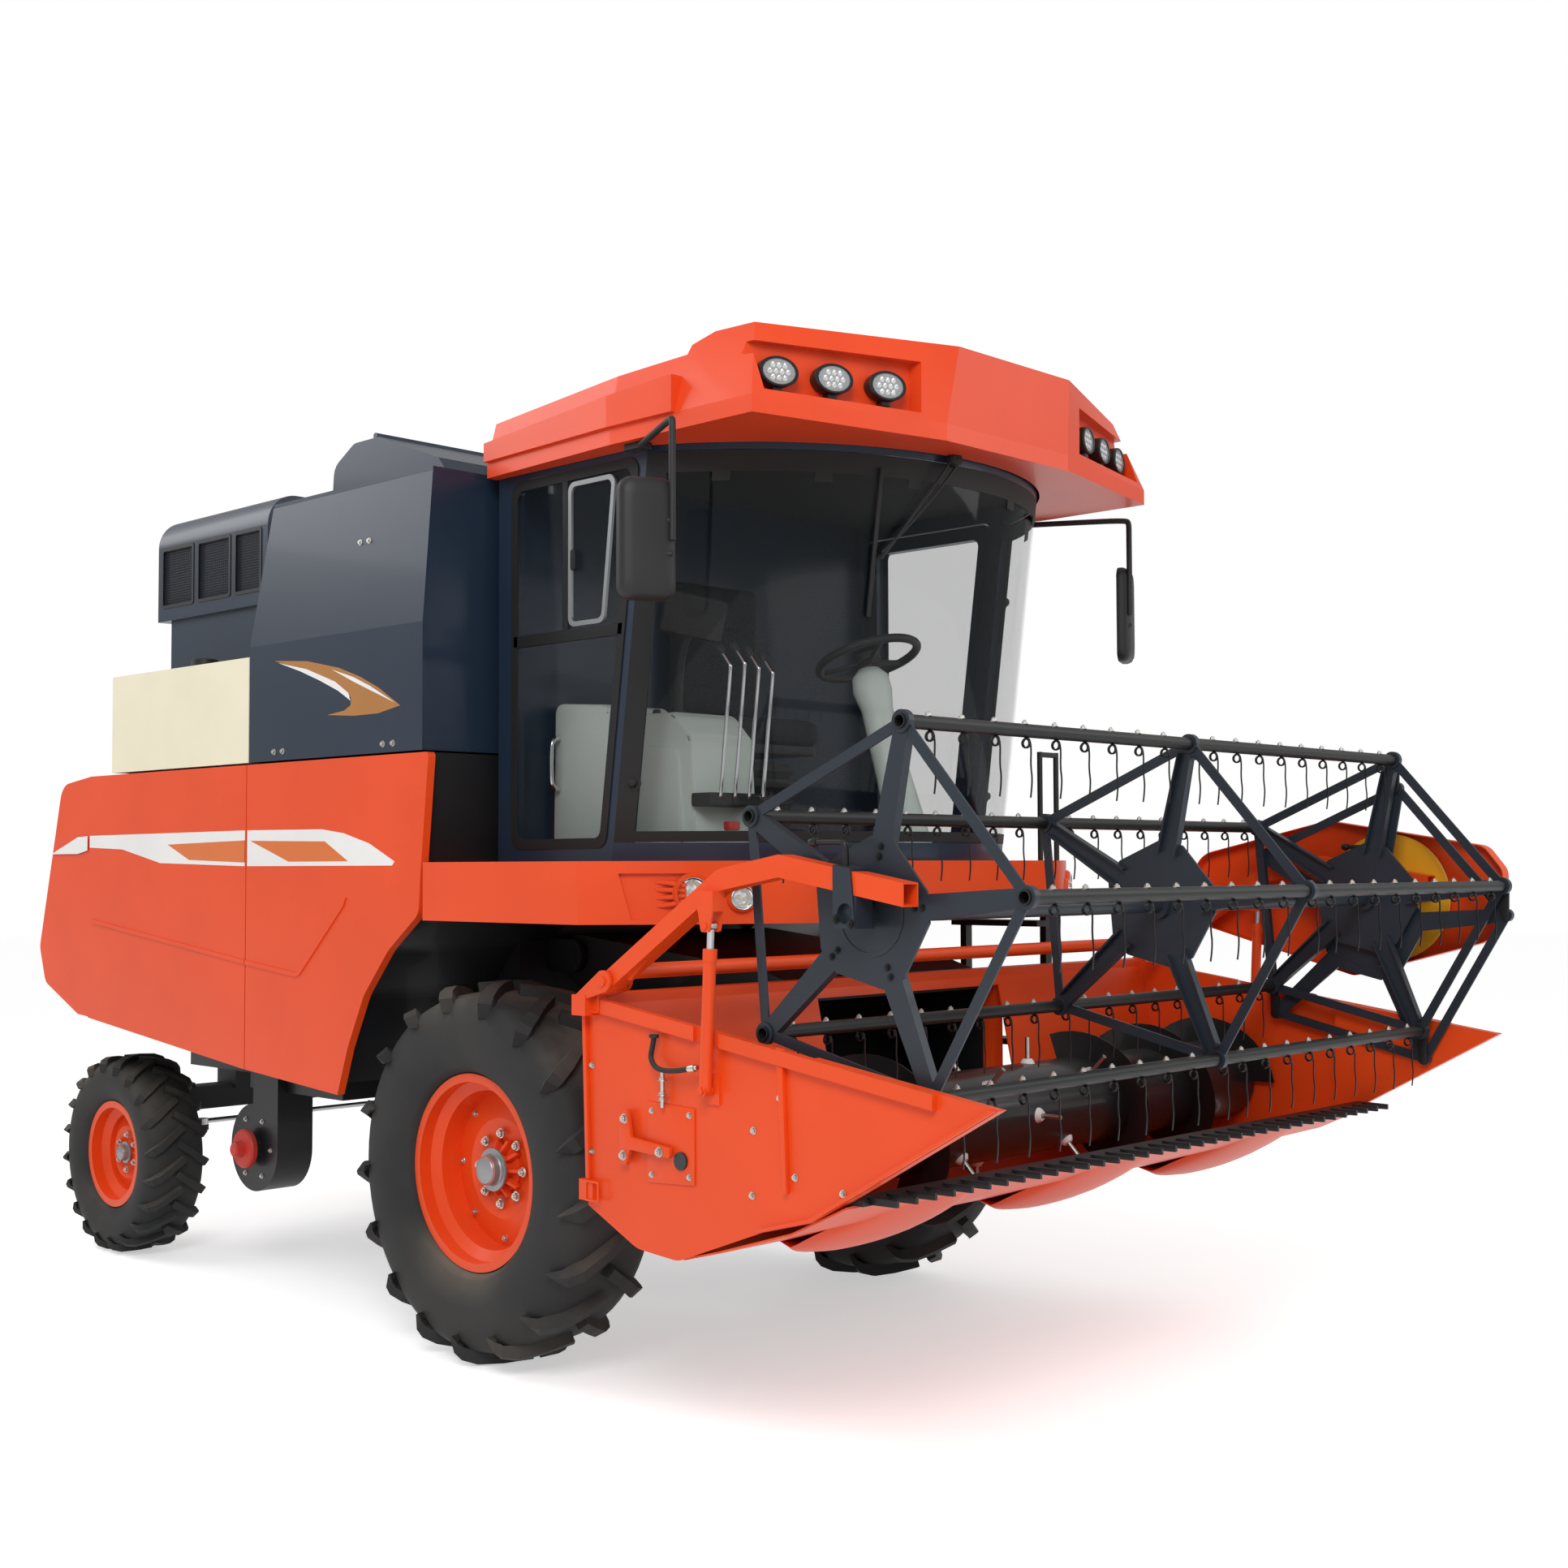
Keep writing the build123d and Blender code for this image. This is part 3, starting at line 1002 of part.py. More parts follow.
def reel_clamps():
    """A strap over each arm with the shaft's bearing below it, and the eccentric's carrier disc."""
    rear, front = REEL_X - 42, REEL_X + 34
    low_z = REEL_Z - 38
    (x0, z0), (x1, z1) = arm_path()[-2:]
    rise = (ARM_TUBE / 2 + SEAL) / math.cos(math.atan2(z0 - z1, x1 - x0))
    pieces = []
    for centre in (-ARM_Y, FAR_ARM_Y):
        low, high = centre - ARM_TUBE / 2 - SEAL, centre + ARM_TUBE / 2 + SEAL
        over = [(rear, arm_height(rear) + rise), (front - 16, arm_height(front - 16) + rise)]
        strap = over + [(x, z + STRAP_T) for x, z in over[::-1]]
        pieces.append(side_solid(strap, low - STRAP_T, high + STRAP_T))
        cheek = [(x, z + 1) for x, z in over] + [(front, low_z), (rear, low_z)]
        for y in (low - STRAP_T, high):
            pieces.append(side_solid(cheek, y, y + STRAP_T))
        bearing = [(rear, arm_height(rear) - rise), (front, arm_height(front) - rise), (front, low_z),
                   (rear, low_z)]
        pieces.append(side_solid(bearing, low - 1, high + 1))
    low = FAR_ARM_Y - ARM_TUBE / 2 - SEAL - STRAP_T
    disc_z = REEL_Z - CRANK
    pieces.append(rod((REEL_X, STAR_Y - SPIDER_T / 2, disc_z), (REEL_X, STAR_Y + SPIDER_T / 2, disc_z),
                      CARRIER_R))
    pieces.append(block((rear, front), (STAR_Y + SPIDER_T / 2 - 1, low + 1), (disc_z - 50, low_z + 6)))
    return joined(pieces).cut(rod((REEL_X, -ARM_Y - 60, REEL_Z), (REEL_X, FAR_ARM_Y + 60, REEL_Z),
                                  SHAFT_R + RUN_GAP))


def reel_pulley():
    """Drive pulley on the reel shaft's left end."""
    groove = [(SHAFT_R + SEAL, 0), (PULLEY_R, 0), (PULLEY_R - 15, 8), (PULLEY_R, 16), (SHAFT_R + SEAL, 16)]
    return spun(groove, REEL_X, GUARD_Y + 7, REEL_Z)


def reel_guard():
    """Pressed guard over the reel drive, its open side towards the arm."""
    rows = [(1126, 1400, 100), (1126, 1660, 100), (1700, 1790, 120), (2300, 1690, 60), (2371, 1600, 60),
            (2330, 1360, 80), (1800, 1215, 60)]
    inner = [(1129, 1402, 97), (1129, 1657, 97), (1700, 1787, 117), (2298, 1687, 57), (2367, 1599, 57),
             (2327, 1362, 77), (1800, 1218, 57)]
    pan = side_solid(rows, GUARD_Y, GUARD_Y + GUARD_DEPTH)
    return pan - side_solid(inner, GUARD_Y - 1, GUARD_Y + GUARD_DEPTH - GUARD_T)


def cylinder_pair(base, eye, y, barrel_r, rod_r, barrel_length, closing):
    """Barrels and rods of a pair of cylinders, one each side, between two side-view points."""
    start, end = Vector(base[0], 0, base[1]), Vector(eye[0], 0, eye[1])
    along = (end - start).normalized()
    top = start + along * barrel_length
    barrels, rods = [], []
    for side in (-1, 1):
        shift = Vector(0, side * y, 0)
        tube = rod(start + shift, top + shift, barrel_r)
        tube += rod(top - along * 34 + shift, top + shift, barrel_r + 2)
        tube -= rod(start + along * 45 + shift, top + along + shift, rod_r + RUN_GAP)
        eye_ring = rod(start + shift - Vector(0, barrel_r * 0.8, 0), start + shift + Vector(0, barrel_r * 0.8,
                                                                                            0),
                       barrel_r * 0.9)
        barrels += [tube + eye_ring]
        rods.append(rod(start + along * (60 + closing) + shift, end + shift, rod_r)
                    + rod(end + shift - Vector(0, rod_r + 2, 0), end + shift + Vector(0, rod_r + 2, 0),
                          rod_r * 1.3))
    return barrels, rods


def lift_cylinders():
    """Header lift cylinders under the feeder house."""
    barrels, rods = cylinder_pair(LIFT_BASE, LIFT_EYE, LIFT_Y, LIFT_R, LIFT_ROD_R, 460, LIFT_CLOSING)
    pins = []
    for side in (-1, 1):
        y = side * LIFT_Y
        reach = LIFT_R + SIDE_GAP + 14
        pins.append(rod((LIFT_BASE[0], y - reach, LIFT_BASE[1]), (LIFT_BASE[0], y + reach, LIFT_BASE[1]), 14))
    return {"lift_barrels": joined(barrels + pins), "lift_rods": joined(rods)}


def reel_cylinders():
    """Reel lift cylinders outside the header's end plates."""
    barrels, rods = cylinder_pair(REEL_CYL_BASE, REEL_CYL_EYE, REEL_CYL_Y, REEL_CYL_R, REEL_ROD_R, 385, 0)
    x, z = REEL_CYL_BASE
    bores = [rod((x, side * (REEL_CYL_Y - 40), z), (x, side * (REEL_CYL_Y + 40), z),
                 9 + RUN_GAP) for side in (-1, 1)]
    return {"reel_cylinder_barrels": joined(barrels).cut(*bores), "reel_cylinder_rods": joined(rods)}


NODES = {}
NODES.update(wheels())
NODES["front_axle"] = front_axle()
NODES["rear_axle"] = rear_axle()
NODES.update(knuckles())
NODES["tie_rod"] = tie_rod()
NODES["main_frame"] = main_frame()
NODES["thresher_body"] = thresher_body()
NODES.update(service_doors())
NODES["tail_hood"] = tail_hood()
NODES["grain_tank"] = grain_tank()
NODES["tank_lid"] = tank_lid()
NODES["intake_screen"] = intake_screen()
NODES["side_box"] = side_box()
NODES["engine_block"] = engine()
NODES["exhaust"] = exhaust()
NODES["unloading_auger"] = unloading_auger()
NODES["elevator_boot"] = elevator_boot()
NODES.update(cab())
NODES["cab_roof"] = cab_roof()
NODES["lamps"] = lamps()
NODES["deck"] = deck()
NODES["fairing"] = fairing()
NODES["seat"] = seat()
NODES["controls"] = controls()
NODES["mirrors"] = mirrors()
NODES["ladder"] = ladder()
NODES["header_frame"] = header_frame()
NODES["feeder_house"] = feeder_house()
NODES["cutter_bar"] = cutter_bar()
NODES["header_auger"] = header_auger()
NODES["reel_frame"] = reel_frame()
for number, (bar_x, bar_z) in enumerate(bar_places(), 1):
    NODES[f"tine_bar_{number}"] = tine_bar(bar_x, bar_z)
NODES["eccentric_spider"] = eccentric_spider()
NODES["reel_arms"] = reel_arms()
NODES["reel_clamps"] = reel_clamps()
NODES["reel_pulley"] = reel_pulley()
NODES["reel_guard"] = reel_guard()
NODES.update(lift_cylinders())
NODES.update(reel_cylinders())

os.makedirs("parts", exist_ok=True)
for name, shape in NODES.items():
    export_step(Pos(-ORIGIN_X, -ORIGIN_Y, -GROUND_Z) * shape, f"parts/{name}.step")
whole = Compound(children=list(NODES.values())).bounding_box()
print(len(NODES), "nodes from", whole.min, "to", whole.max)
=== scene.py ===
import json
import math

import bmesh
import bpy
from mathutils import Matrix, Vector


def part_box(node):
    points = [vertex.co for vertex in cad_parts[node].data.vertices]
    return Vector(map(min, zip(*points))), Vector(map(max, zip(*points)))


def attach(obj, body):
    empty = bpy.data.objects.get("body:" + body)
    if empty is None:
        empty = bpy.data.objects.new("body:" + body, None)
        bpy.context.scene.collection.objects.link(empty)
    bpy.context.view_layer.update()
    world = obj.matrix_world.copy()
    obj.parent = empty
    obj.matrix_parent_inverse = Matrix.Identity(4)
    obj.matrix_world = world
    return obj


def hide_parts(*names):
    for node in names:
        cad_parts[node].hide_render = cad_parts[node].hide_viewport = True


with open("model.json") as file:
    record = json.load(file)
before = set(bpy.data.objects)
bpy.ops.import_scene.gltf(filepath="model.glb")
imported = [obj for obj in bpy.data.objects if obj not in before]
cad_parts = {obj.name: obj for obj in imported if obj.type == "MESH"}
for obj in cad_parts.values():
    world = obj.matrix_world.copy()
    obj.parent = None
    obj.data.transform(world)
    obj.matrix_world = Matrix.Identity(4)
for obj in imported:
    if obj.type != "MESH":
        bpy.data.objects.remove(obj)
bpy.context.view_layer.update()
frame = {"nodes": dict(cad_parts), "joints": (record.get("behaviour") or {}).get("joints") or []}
nodes = frame["nodes"]
joints = {joint["name"]: joint for joint in frame["joints"]}


# The studio. The machine stands on a pale floor that runs into a white backdrop. Places are
# measured as on the drawing: X ahead of the front axle, Y left of the header's middle, Z up.

HUB_Y, HUB_Z = -1.030, 0.612
front_hub = Vector(joints["front_wheel_right_spin"]["pos_m"])
SHIFT = front_hub - Vector((0, HUB_Y, HUB_Z))
CAMERA_PLACE = Vector((5.2007, -5.0628, 1.6286))
YAW, PITCH, ROLL = math.radians(43.934), math.radians(2.4463), math.radians(-0.2024)
LENS = 43.91


def at(x, y, z):
    """A place on the drawing, in the frame's own coordinates."""
    return Vector((x, y, z)) + SHIFT


def plain(name, colour, rough):
    """A flat material for what only stands around the machine."""
    material = bpy.data.materials.new(name)
    material.use_nodes = True
    shader = material.node_tree.nodes["Principled BSDF"]
    shader.inputs["Base Color"].default_value = (*colour, 1)
    shader.inputs["Roughness"].default_value = rough
    return material


def linked(name, data):
    """A new object in the scene, at the origin."""
    obj = bpy.data.objects.new(name, data)
    bpy.context.scene.collection.objects.link(obj)
    return obj


def mesh_object(name, verts, faces):
    """An object from plain vertex and face lists."""
    mesh = bpy.data.meshes.new(name)
    mesh.from_pydata([tuple(v) for v in verts], [], faces)
    mesh.update()
    return linked(name, mesh)


def white_backdrop(material):
    """Shows pure white to the camera and to reflections, and still takes shadows."""
    tree = material.node_tree
    shader = tree.nodes["Principled BSDF"]
    ray = tree.nodes.new("ShaderNodeLightPath")
    seen = tree.nodes.new("ShaderNodeMath")
    seen.operation = "MAXIMUM"
    tree.links.new(ray.outputs["Is Camera Ray"], seen.inputs[0])
    tree.links.new(ray.outputs["Is Glossy Ray"], seen.inputs[1])
    strength = tree.nodes.new("ShaderNodeMath")
    strength.operation = "MULTIPLY"
    strength.inputs[1].default_value = 0.5
    tree.links.new(seen.outputs[0], strength.inputs[0])
    shader.inputs["Emission Color"].default_value = (1, 1, 1, 1)
    tree.links.new(strength.outputs[0], shader.inputs["Emission Strength"])


right_way = Vector((math.cos(YAW), math.sin(YAW), 0))
look = Vector((-math.sin(YAW) * math.cos(PITCH), math.cos(YAW) * math.cos(PITCH), math.sin(PITCH)))
up_way = right_way.cross(look)
side = right_way * math.cos(ROLL) + up_way * math.sin(ROLL)
top = up_way * math.cos(ROLL) - right_way * math.sin(ROLL)
camera_data = bpy.data.cameras.new("camera")
camera_data.lens = LENS
camera_data.sensor_width = 36
camera_data.clip_end = 100
camera = linked("camera", camera_data)
turned = Matrix((side, top, -look)).transposed().to_4x4()
camera.matrix_world = Matrix.Translation(CAMERA_PLACE + SHIFT) @ turned
bpy.context.scene.camera = camera
bpy.context.scene.view_settings.view_transform = "Standard"

FLOOR_REACH = 40
floor_corners = [(FLOOR_REACH * x, FLOOR_REACH * y, 0) for x, y in ((-1, -1), (1, -1), (1, 1), (-1, 1))]
floor = mesh_object("floor", floor_corners, [(0, 1, 2, 3)])
floor.data.materials.append(plain("floor_white", (0.86, 0.86, 0.86), 0.7))
white_backdrop(floor.data.materials[0])

world = bpy.data.worlds.new("studio")
bpy.context.scene.world = world
world.use_nodes = True
sky = world.node_tree.nodes["Background"]
sky.inputs["Color"].default_value = (1, 1, 1, 1)
ray = world.node_tree.nodes.new("ShaderNodeLightPath")
direct = world.node_tree.nodes.new("ShaderNodeMath")
direct.operation = "MULTIPLY_ADD"
direct.inputs[1].default_value = 0.45
direct.inputs[2].default_value = 0.55
world.node_tree.links.new(ray.outputs["Is Camera Ray"], direct.inputs[0])
world.node_tree.links.new(direct.outputs[0], sky.inputs["Strength"])

# name, place, aim, size, power
LAMPS = (("key", (5.5, -6.5, 6.5), (0, 0, 1.2), 3.5, 400),
         ("fill", (6.5, 4.5, 5.0), (0, 0, 1.2), 4.5, 130),
         ("back", (-6.0, -3.5, 6.0), (-1, 0, 1.4), 4.0, 180))
for name, place, aim, size, power in LAMPS:
    data = bpy.data.lights.new(name, "AREA")
    data.energy = power
    data.size = size
    lamp = linked(name, data)
    lamp.location = at(*place)
    lamp.rotation_euler = (at(*aim) - at(*place)).to_track_quat("-Z", "Y").to_euler()


# Painted sheet steel: the doors, frames, tank, header and arms. Sprayed enamel over pressed
# and welded sheet, with a faint orange peel and a little field dust on what faces up.

def socket(group, name, kind, way, value=None):
    """One named input or output of a node group."""
    item = group.interface.new_socket(name, in_out=way, socket_type=kind)
    if value is not None:
        item.default_value = value
    return item


def skin_group():
    """Colour that varies a little, dust on upper faces, and an orange-peel height."""
    group = bpy.data.node_groups.new("surface_skin", "ShaderNodeTree")
    socket(group, "Colour", "NodeSocketColor", "INPUT", (0.5, 0.5, 0.5, 1))
    socket(group, "Dust colour", "NodeSocketColor", "INPUT", (0.34, 0.29, 0.22, 1))
    socket(group, "Dust", "NodeSocketFloat", "INPUT", 0.2)
    socket(group, "Roughness", "NodeSocketFloat", "INPUT", 0.35)
    socket(group, "Grain size", "NodeSocketFloat", "INPUT", 240.0)
    socket(group, "Colour", "NodeSocketColor", "OUTPUT")
    socket(group, "Roughness", "NodeSocketFloat", "OUTPUT")
    socket(group, "Height", "NodeSocketFloat", "OUTPUT")
    add, link = group.nodes.new, group.links.new
    inside, out = add("NodeGroupInput"), add("NodeGroupOutput")
    place = add("ShaderNodeTexCoord")
    broad = add("ShaderNodeTexNoise")
    broad.inputs["Scale"].default_value = 2.3
    broad.inputs["Detail"].default_value = 4
    fine = add("ShaderNodeTexNoise")
    fine.inputs["Detail"].default_value = 2
    link(inside.outputs["Grain size"], fine.inputs["Scale"])
    for texture in (broad, fine):
        link(place.outputs["Object"], texture.inputs["Vector"])
    shade = add("ShaderNodeMapRange")
    shade.inputs["To Min"].default_value = 0.86
    shade.inputs["To Max"].default_value = 1.10
    link(broad.outputs["Fac"], shade.inputs["Value"])
    toned = add("ShaderNodeVectorMath")
    toned.operation = "SCALE"
    link(inside.outputs["Colour"], toned.inputs[0])
    link(shade.outputs["Result"], toned.inputs["Scale"])
    facing = add("ShaderNodeNewGeometry")
    parts = add("ShaderNodeSeparateXYZ")
    link(facing.outputs["Normal"], parts.inputs[0])
    upward = add("ShaderNodeMapRange")
    upward.inputs["From Min"].default_value = 0.1
    upward.inputs["To Min"].default_value = 0.12
    link(parts.outputs["Z"], upward.inputs["Value"])
    patch = add("ShaderNodeMapRange")
    patch.inputs["From Min"].default_value = 0.42
    patch.inputs["From Max"].default_value = 0.72
    link(broad.outputs["Fac"], patch.inputs["Value"])
    dust = add("ShaderNodeMath")
    dust.operation = "MULTIPLY"
    link(upward.outputs["Result"], dust.inputs[0])
    link(patch.outputs["Result"], dust.inputs[1])
    amount = add("ShaderNodeMath")
    amount.operation = "MULTIPLY"
    link(dust.outputs[0], amount.inputs[0])
    link(inside.outputs["Dust"], amount.inputs[1])
    mix = add("ShaderNodeMix")
    mix.data_type = "RGBA"
    link(amount.outputs[0], mix.inputs["Factor"])
    link(toned.outputs[0], mix.inputs[6])
    link(inside.outputs["Dust colour"], mix.inputs[7])
    link(mix.outputs[2], out.inputs["Colour"])
    rough = add("ShaderNodeMath")
    rough.operation = "MULTIPLY_ADD"
    rough.inputs[1].default_value = 0.5
    link(amount.outputs[0], rough.inputs[0])
    link(inside.outputs["Roughness"], rough.inputs[2])
    link(rough.outputs[0], out.inputs["Roughness"])
    link(fine.outputs["Fac"], out.inputs["Height"])
    return group


SKIN = skin_group()


def finish(name, colour, rough, dust=0.2, grain=240.0, bump=0.04, depth=0.001, metal=0.0, coat=0.0):
    """A Principled material whose colour, roughness and relief come from the skin group."""
    material = bpy.data.materials.new(name)
    material.use_nodes = True
    tree = material.node_tree
    shader = tree.nodes["Principled BSDF"]
    shader.inputs["Metallic"].default_value = metal
    shader.inputs["Coat Weight"].default_value = coat
    shader.inputs["Coat Roughness"].default_value = 0.08
    shader.inputs["Specular IOR Level"].default_value = 0.5 if metal else 0.32
    skin = tree.nodes.new("ShaderNodeGroup")
    skin.node_tree = SKIN
    skin.inputs["Colour"].default_value = (*colour, 1)
    skin.inputs["Dust"].default_value = dust
    skin.inputs["Roughness"].default_value = rough
    skin.inputs["Grain size"].default_value = grain
    relief = tree.nodes.new("ShaderNodeBump")
    relief.inputs["Strength"].default_value = bump
    relief.inputs["Distance"].default_value = depth
    tree.links.new(skin.outputs["Colour"], shader.inputs["Base Color"])
    tree.links.new(skin.outputs["Roughness"], shader.inputs["Roughness"])
    tree.links.new(skin.outputs["Height"], relief.inputs["Height"])
    tree.links.new(relief.outputs["Normal"], shader.inputs["Normal"])
    return material


def dress(material, slot, *names):
    """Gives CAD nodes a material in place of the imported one."""
    for name in names:
        node = nodes[name]
        node.data.materials.clear()
        node.data.materials.append(material)


orange = finish("orange_enamel", (0.80, 0.070, 0.008), 0.38, dust=0.06, coat=0.05)
navy = finish("navy_enamel", (0.012, 0.024, 0.046), 0.36, dust=0.04, coat=0.10)
slate = finish("slate_enamel", (0.018, 0.026, 0.036), 0.42, dust=0.08, coat=0.10)
black = finish("black_enamel", (0.009, 0.010, 0.012), 0.42, dust=0.10, coat=0.08)
cream = finish("cream_enamel", (0.86, 0.80, 0.60), 0.38, dust=0.05, coat=0.3)
yellow = finish("yellow_enamel", (0.80, 0.38, 0.02), 0.35, dust=0.1)
dress(orange, "orange_paint", "door_front_right", "door_front_left", "door_rear_right", "door_rear_left",
      "tail_hood", "deck", "fairing", "header_frame", "reel_arms", "reel_guard", "reel_cylinder_barrels")
dress(navy, "navy_paint", "grain_tank", "tank_lid", "intake_screen", "unloading_auger",
      "cab_frame", "cab_door")
dress(slate, "dark_paint", "reel_frame", "eccentric_spider", "reel_clamps")
dress(black, "dark_paint", "thresher_body", "elevator_boot", "exhaust", "main_frame", "feeder_house",
      "lift_barrels", "header_auger", "cutter_bar", "tine_bar_1", "tine_bar_2", "tine_bar_3",
      "tine_bar_4", "tine_bar_5")
dress(cream, "cream_paint", "side_box")
dress(yellow, "yellow_paint", "reel_pulley")

cast = finish("cast_iron", (0.05, 0.052, 0.055), 0.6, dust=0.3, grain=90, bump=0.3)
dress(cast, "cast_metal", "front_axle", "rear_axle", "knuckle_right", "knuckle_left", "engine_block")
steel = finish("bright_steel", (0.62, 0.63, 0.64), 0.3, dust=0.05, metal=1.0)
dress(steel, "bright_steel", "tie_rod", "lift_rods", "reel_cylinder_rods")
plastic = finish("black_plastic", (0.018, 0.018, 0.019), 0.5, dust=0.1, grain=500, bump=0.1)
dress(plastic, "black_plastic", "mirrors", "ladder")
roof_red = finish("roof_plastic", (0.78, 0.062, 0.010), 0.40, dust=0.06, coat=0.08)
dress(roof_red, "roof_plastic", "cab_roof")
console = finish("console_plastic", (0.46, 0.53, 0.50), 0.5, dust=0.0, grain=600, bump=0.1)
dress(console, "console_plastic", "controls")
fabric = finish("seat_fabric", (0.02, 0.021, 0.024), 0.85, dust=0.0, grain=900, bump=0.4)
dress(fabric, "seat_fabric", "seat")
rubber = finish("tyre_rubber", (0.022, 0.023, 0.024), 0.72, dust=0.45, grain=160, bump=0.2)
dress(rubber, "tyre_rubber", "front_tyre_right", "front_tyre_left", "rear_tyre_right", "rear_tyre_left")
dress(orange, "orange_paint", "front_rim_right", "front_rim_left", "rear_rim_right", "rear_rim_left")


# The cab's glass: laminated windscreen bent round the front, and flat toughened side panes, all with a
# faint grey-green tint. The panes' near-black tint is partly the glass's own and partly painted shade that
# darkens the cab's inside.

def glass_material(name, tint, alpha):
    """Clear glass or plastic: a tint, and how much of it covers what lies behind."""
    material = bpy.data.materials.new(name)
    material.use_nodes = True
    shader = material.node_tree.nodes["Principled BSDF"]
    shader.inputs["Base Color"].default_value = (*tint, 1)
    shader.inputs["Roughness"].default_value = 0.02
    shader.inputs["Alpha"].default_value = alpha
    shader.inputs["Specular IOR Level"].default_value = 0.6
    return material


# Window panes: a near-black tint at 0.16 cover, partly real glass tint and partly painted shade that darkens
# the view into the cab.
tinted_glass_painted_shade = glass_material("tinted_glass_painted_shade", (0.010, 0.014, 0.015), 0.16)
dress(tinted_glass_painted_shade, "clear_glass", "cab_glass", "cab_door_glass")
lens_glass = finish("lamp_lens", (0.75, 0.77, 0.80), 0.12, dust=0.0)
dress(lens_glass, "lamp_lens", "lamps")


# The tyres. Moulded rubber on a smooth carcass: two rows of staggered bars that meet in a
# chevron, run over the shoulder and end on the side wall. The bead sits in the rim's flanges.

def loft_rings(name, rings, closed_ends=True):
    """A skin through equal rings of points."""
    count = len(rings[0])
    verts = [point for ring in rings for point in ring]
    faces = []
    for row in range(len(rings) - 1):
        for column in range(count):
            after = (column + 1) % count
            near, far = row * count, (row + 1) * count
            faces.append((near + column, near + after, far + after, far + column))
    if closed_ends:
        faces.append(tuple(range(count)))
        faces.append(tuple(range(len(verts) - 1, len(verts) - count - 1, -1)))
    obj = mesh_object(name, verts, faces)
    return outward(obj)


def outward(obj):
    """Merges doubles and turns every face outwards."""
    shape = bmesh.new()
    shape.from_mesh(obj.data)
    bmesh.ops.remove_doubles(shape, verts=shape.verts, dist=1e-5)
    bmesh.ops.recalc_face_normals(shape, faces=shape.faces)
    shape.to_mesh(obj.data)
    shape.free()
    return obj


def lathe(name, profile, steps):
    """Rows of (radius, y) turned round the Y axis; a closed profile gives a closed skin."""
    rings = []
    for step in range(steps):
        angle = 2 * math.pi * step / steps
        rings.append([(r * math.sin(angle), y, r * math.cos(angle)) for r, y in profile])
    rings.append(rings[0])
    return loft_rings(name, rings, closed_ends=False)


def smooth(obj, degrees=35):
    """Smooth shading with sharp edges kept above an angle."""
    obj.data.shade_smooth()
    obj.data.set_sharp_from_angle(angle=math.radians(degrees))
    return obj


def moved(obj, place, mirror_y=False):
    """Settles a piece's place into its mesh; mirrored pieces get their faces turned back."""
    matrix = Matrix.Translation(place)
    if mirror_y:
        matrix = matrix @ Matrix.Diagonal((1, -1, 1, 1))
    obj.data.transform(matrix)
    if mirror_y:
        obj.data.flip_normals()
    return obj


def merged(name, pieces):
    """One object from several meshes."""
    with bpy.context.temp_override(active_object=pieces[0], selected_editable_objects=pieces):
        bpy.ops.object.join()
    pieces[0].name = name
    return pieces[0]


def fitted(obj, body, material, slot, *replaced):
    """Gives a finished piece its material and its body, and hides the nodes it stands for."""
    if material is not None:
        obj.data.materials.clear()
        obj.data.materials.append(material)
    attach(obj, body)
    if replaced:
        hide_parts(*replaced)
    return obj


def on_wheel(obj, wheel, material, slot, *replaced):
    """Carries a piece drawn round the origin to a wheel, mirrored on the left, and fits it."""
    moved(obj, Vector(joints[wheel + "_spin"]["pos_m"]), mirror_y=wheel.endswith("left"))
    return fitted(obj, wheel, material, slot, *replaced)


def repeat_tree():
    """Copies of the incoming mesh, each one step further along and one turn further round."""
    tree = bpy.data.node_groups.new("repeat", "GeometryNodeTree")
    socket(tree, "Geometry", "NodeSocketGeometry", "INPUT")
    socket(tree, "Count", "NodeSocketInt", "INPUT", 2)
    socket(tree, "Step", "NodeSocketVector", "INPUT")
    socket(tree, "Turn", "NodeSocketVector", "INPUT")
    socket(tree, "Material", "NodeSocketMaterial", "INPUT")
    socket(tree, "Geometry", "NodeSocketGeometry", "OUTPUT")
    add, link = tree.nodes.new, tree.links.new
    inside, out = add("NodeGroupInput"), add("NodeGroupOutput")
    line = add("GeometryNodeMeshLine")
    link(inside.outputs["Count"], line.inputs["Count"])
    link(inside.outputs["Step"], line.inputs["Offset"])
    index = add("GeometryNodeInputIndex")
    turn = add("ShaderNodeVectorMath")
    turn.operation = "SCALE"
    link(inside.outputs["Turn"], turn.inputs[0])
    link(index.outputs[0], turn.inputs["Scale"])
    rotation = add("FunctionNodeEulerToRotation")
    link(turn.outputs[0], rotation.inputs[0])
    copies = add("GeometryNodeInstanceOnPoints")
    link(line.outputs[0], copies.inputs["Points"])
    link(inside.outputs["Geometry"], copies.inputs["Instance"])
    link(rotation.outputs[0], copies.inputs["Rotation"])
    real = add("GeometryNodeRealizeInstances")
    link(copies.outputs[0], real.inputs[0])
    paint = add("GeometryNodeSetMaterial")
    link(real.outputs[0], paint.inputs["Geometry"])
    link(inside.outputs["Material"], paint.inputs["Material"])
    link(paint.outputs[0], out.inputs[0])
    return tree


REPEAT = repeat_tree()


def settled(obj):
    """The plain mesh that an object's modifiers or a curve's bevel give."""
    bpy.context.view_layer.update()
    return bpy.data.meshes.new_from_object(obj.evaluated_get(bpy.context.evaluated_depsgraph_get()))


def grown(obj, tree, values):
    """Runs a geometry tree on a mesh and keeps the result as a plain mesh."""
    modifier = obj.modifiers.new("grow", "NODES")
    modifier.node_group = tree
    for item in tree.interface.items_tree:
        if item.in_out == "INPUT" and item.name in values:
            modifier[item.identifier] = values[item.name]
    obj.data = settled(obj)
    obj.modifiers.remove(modifier)
    return obj


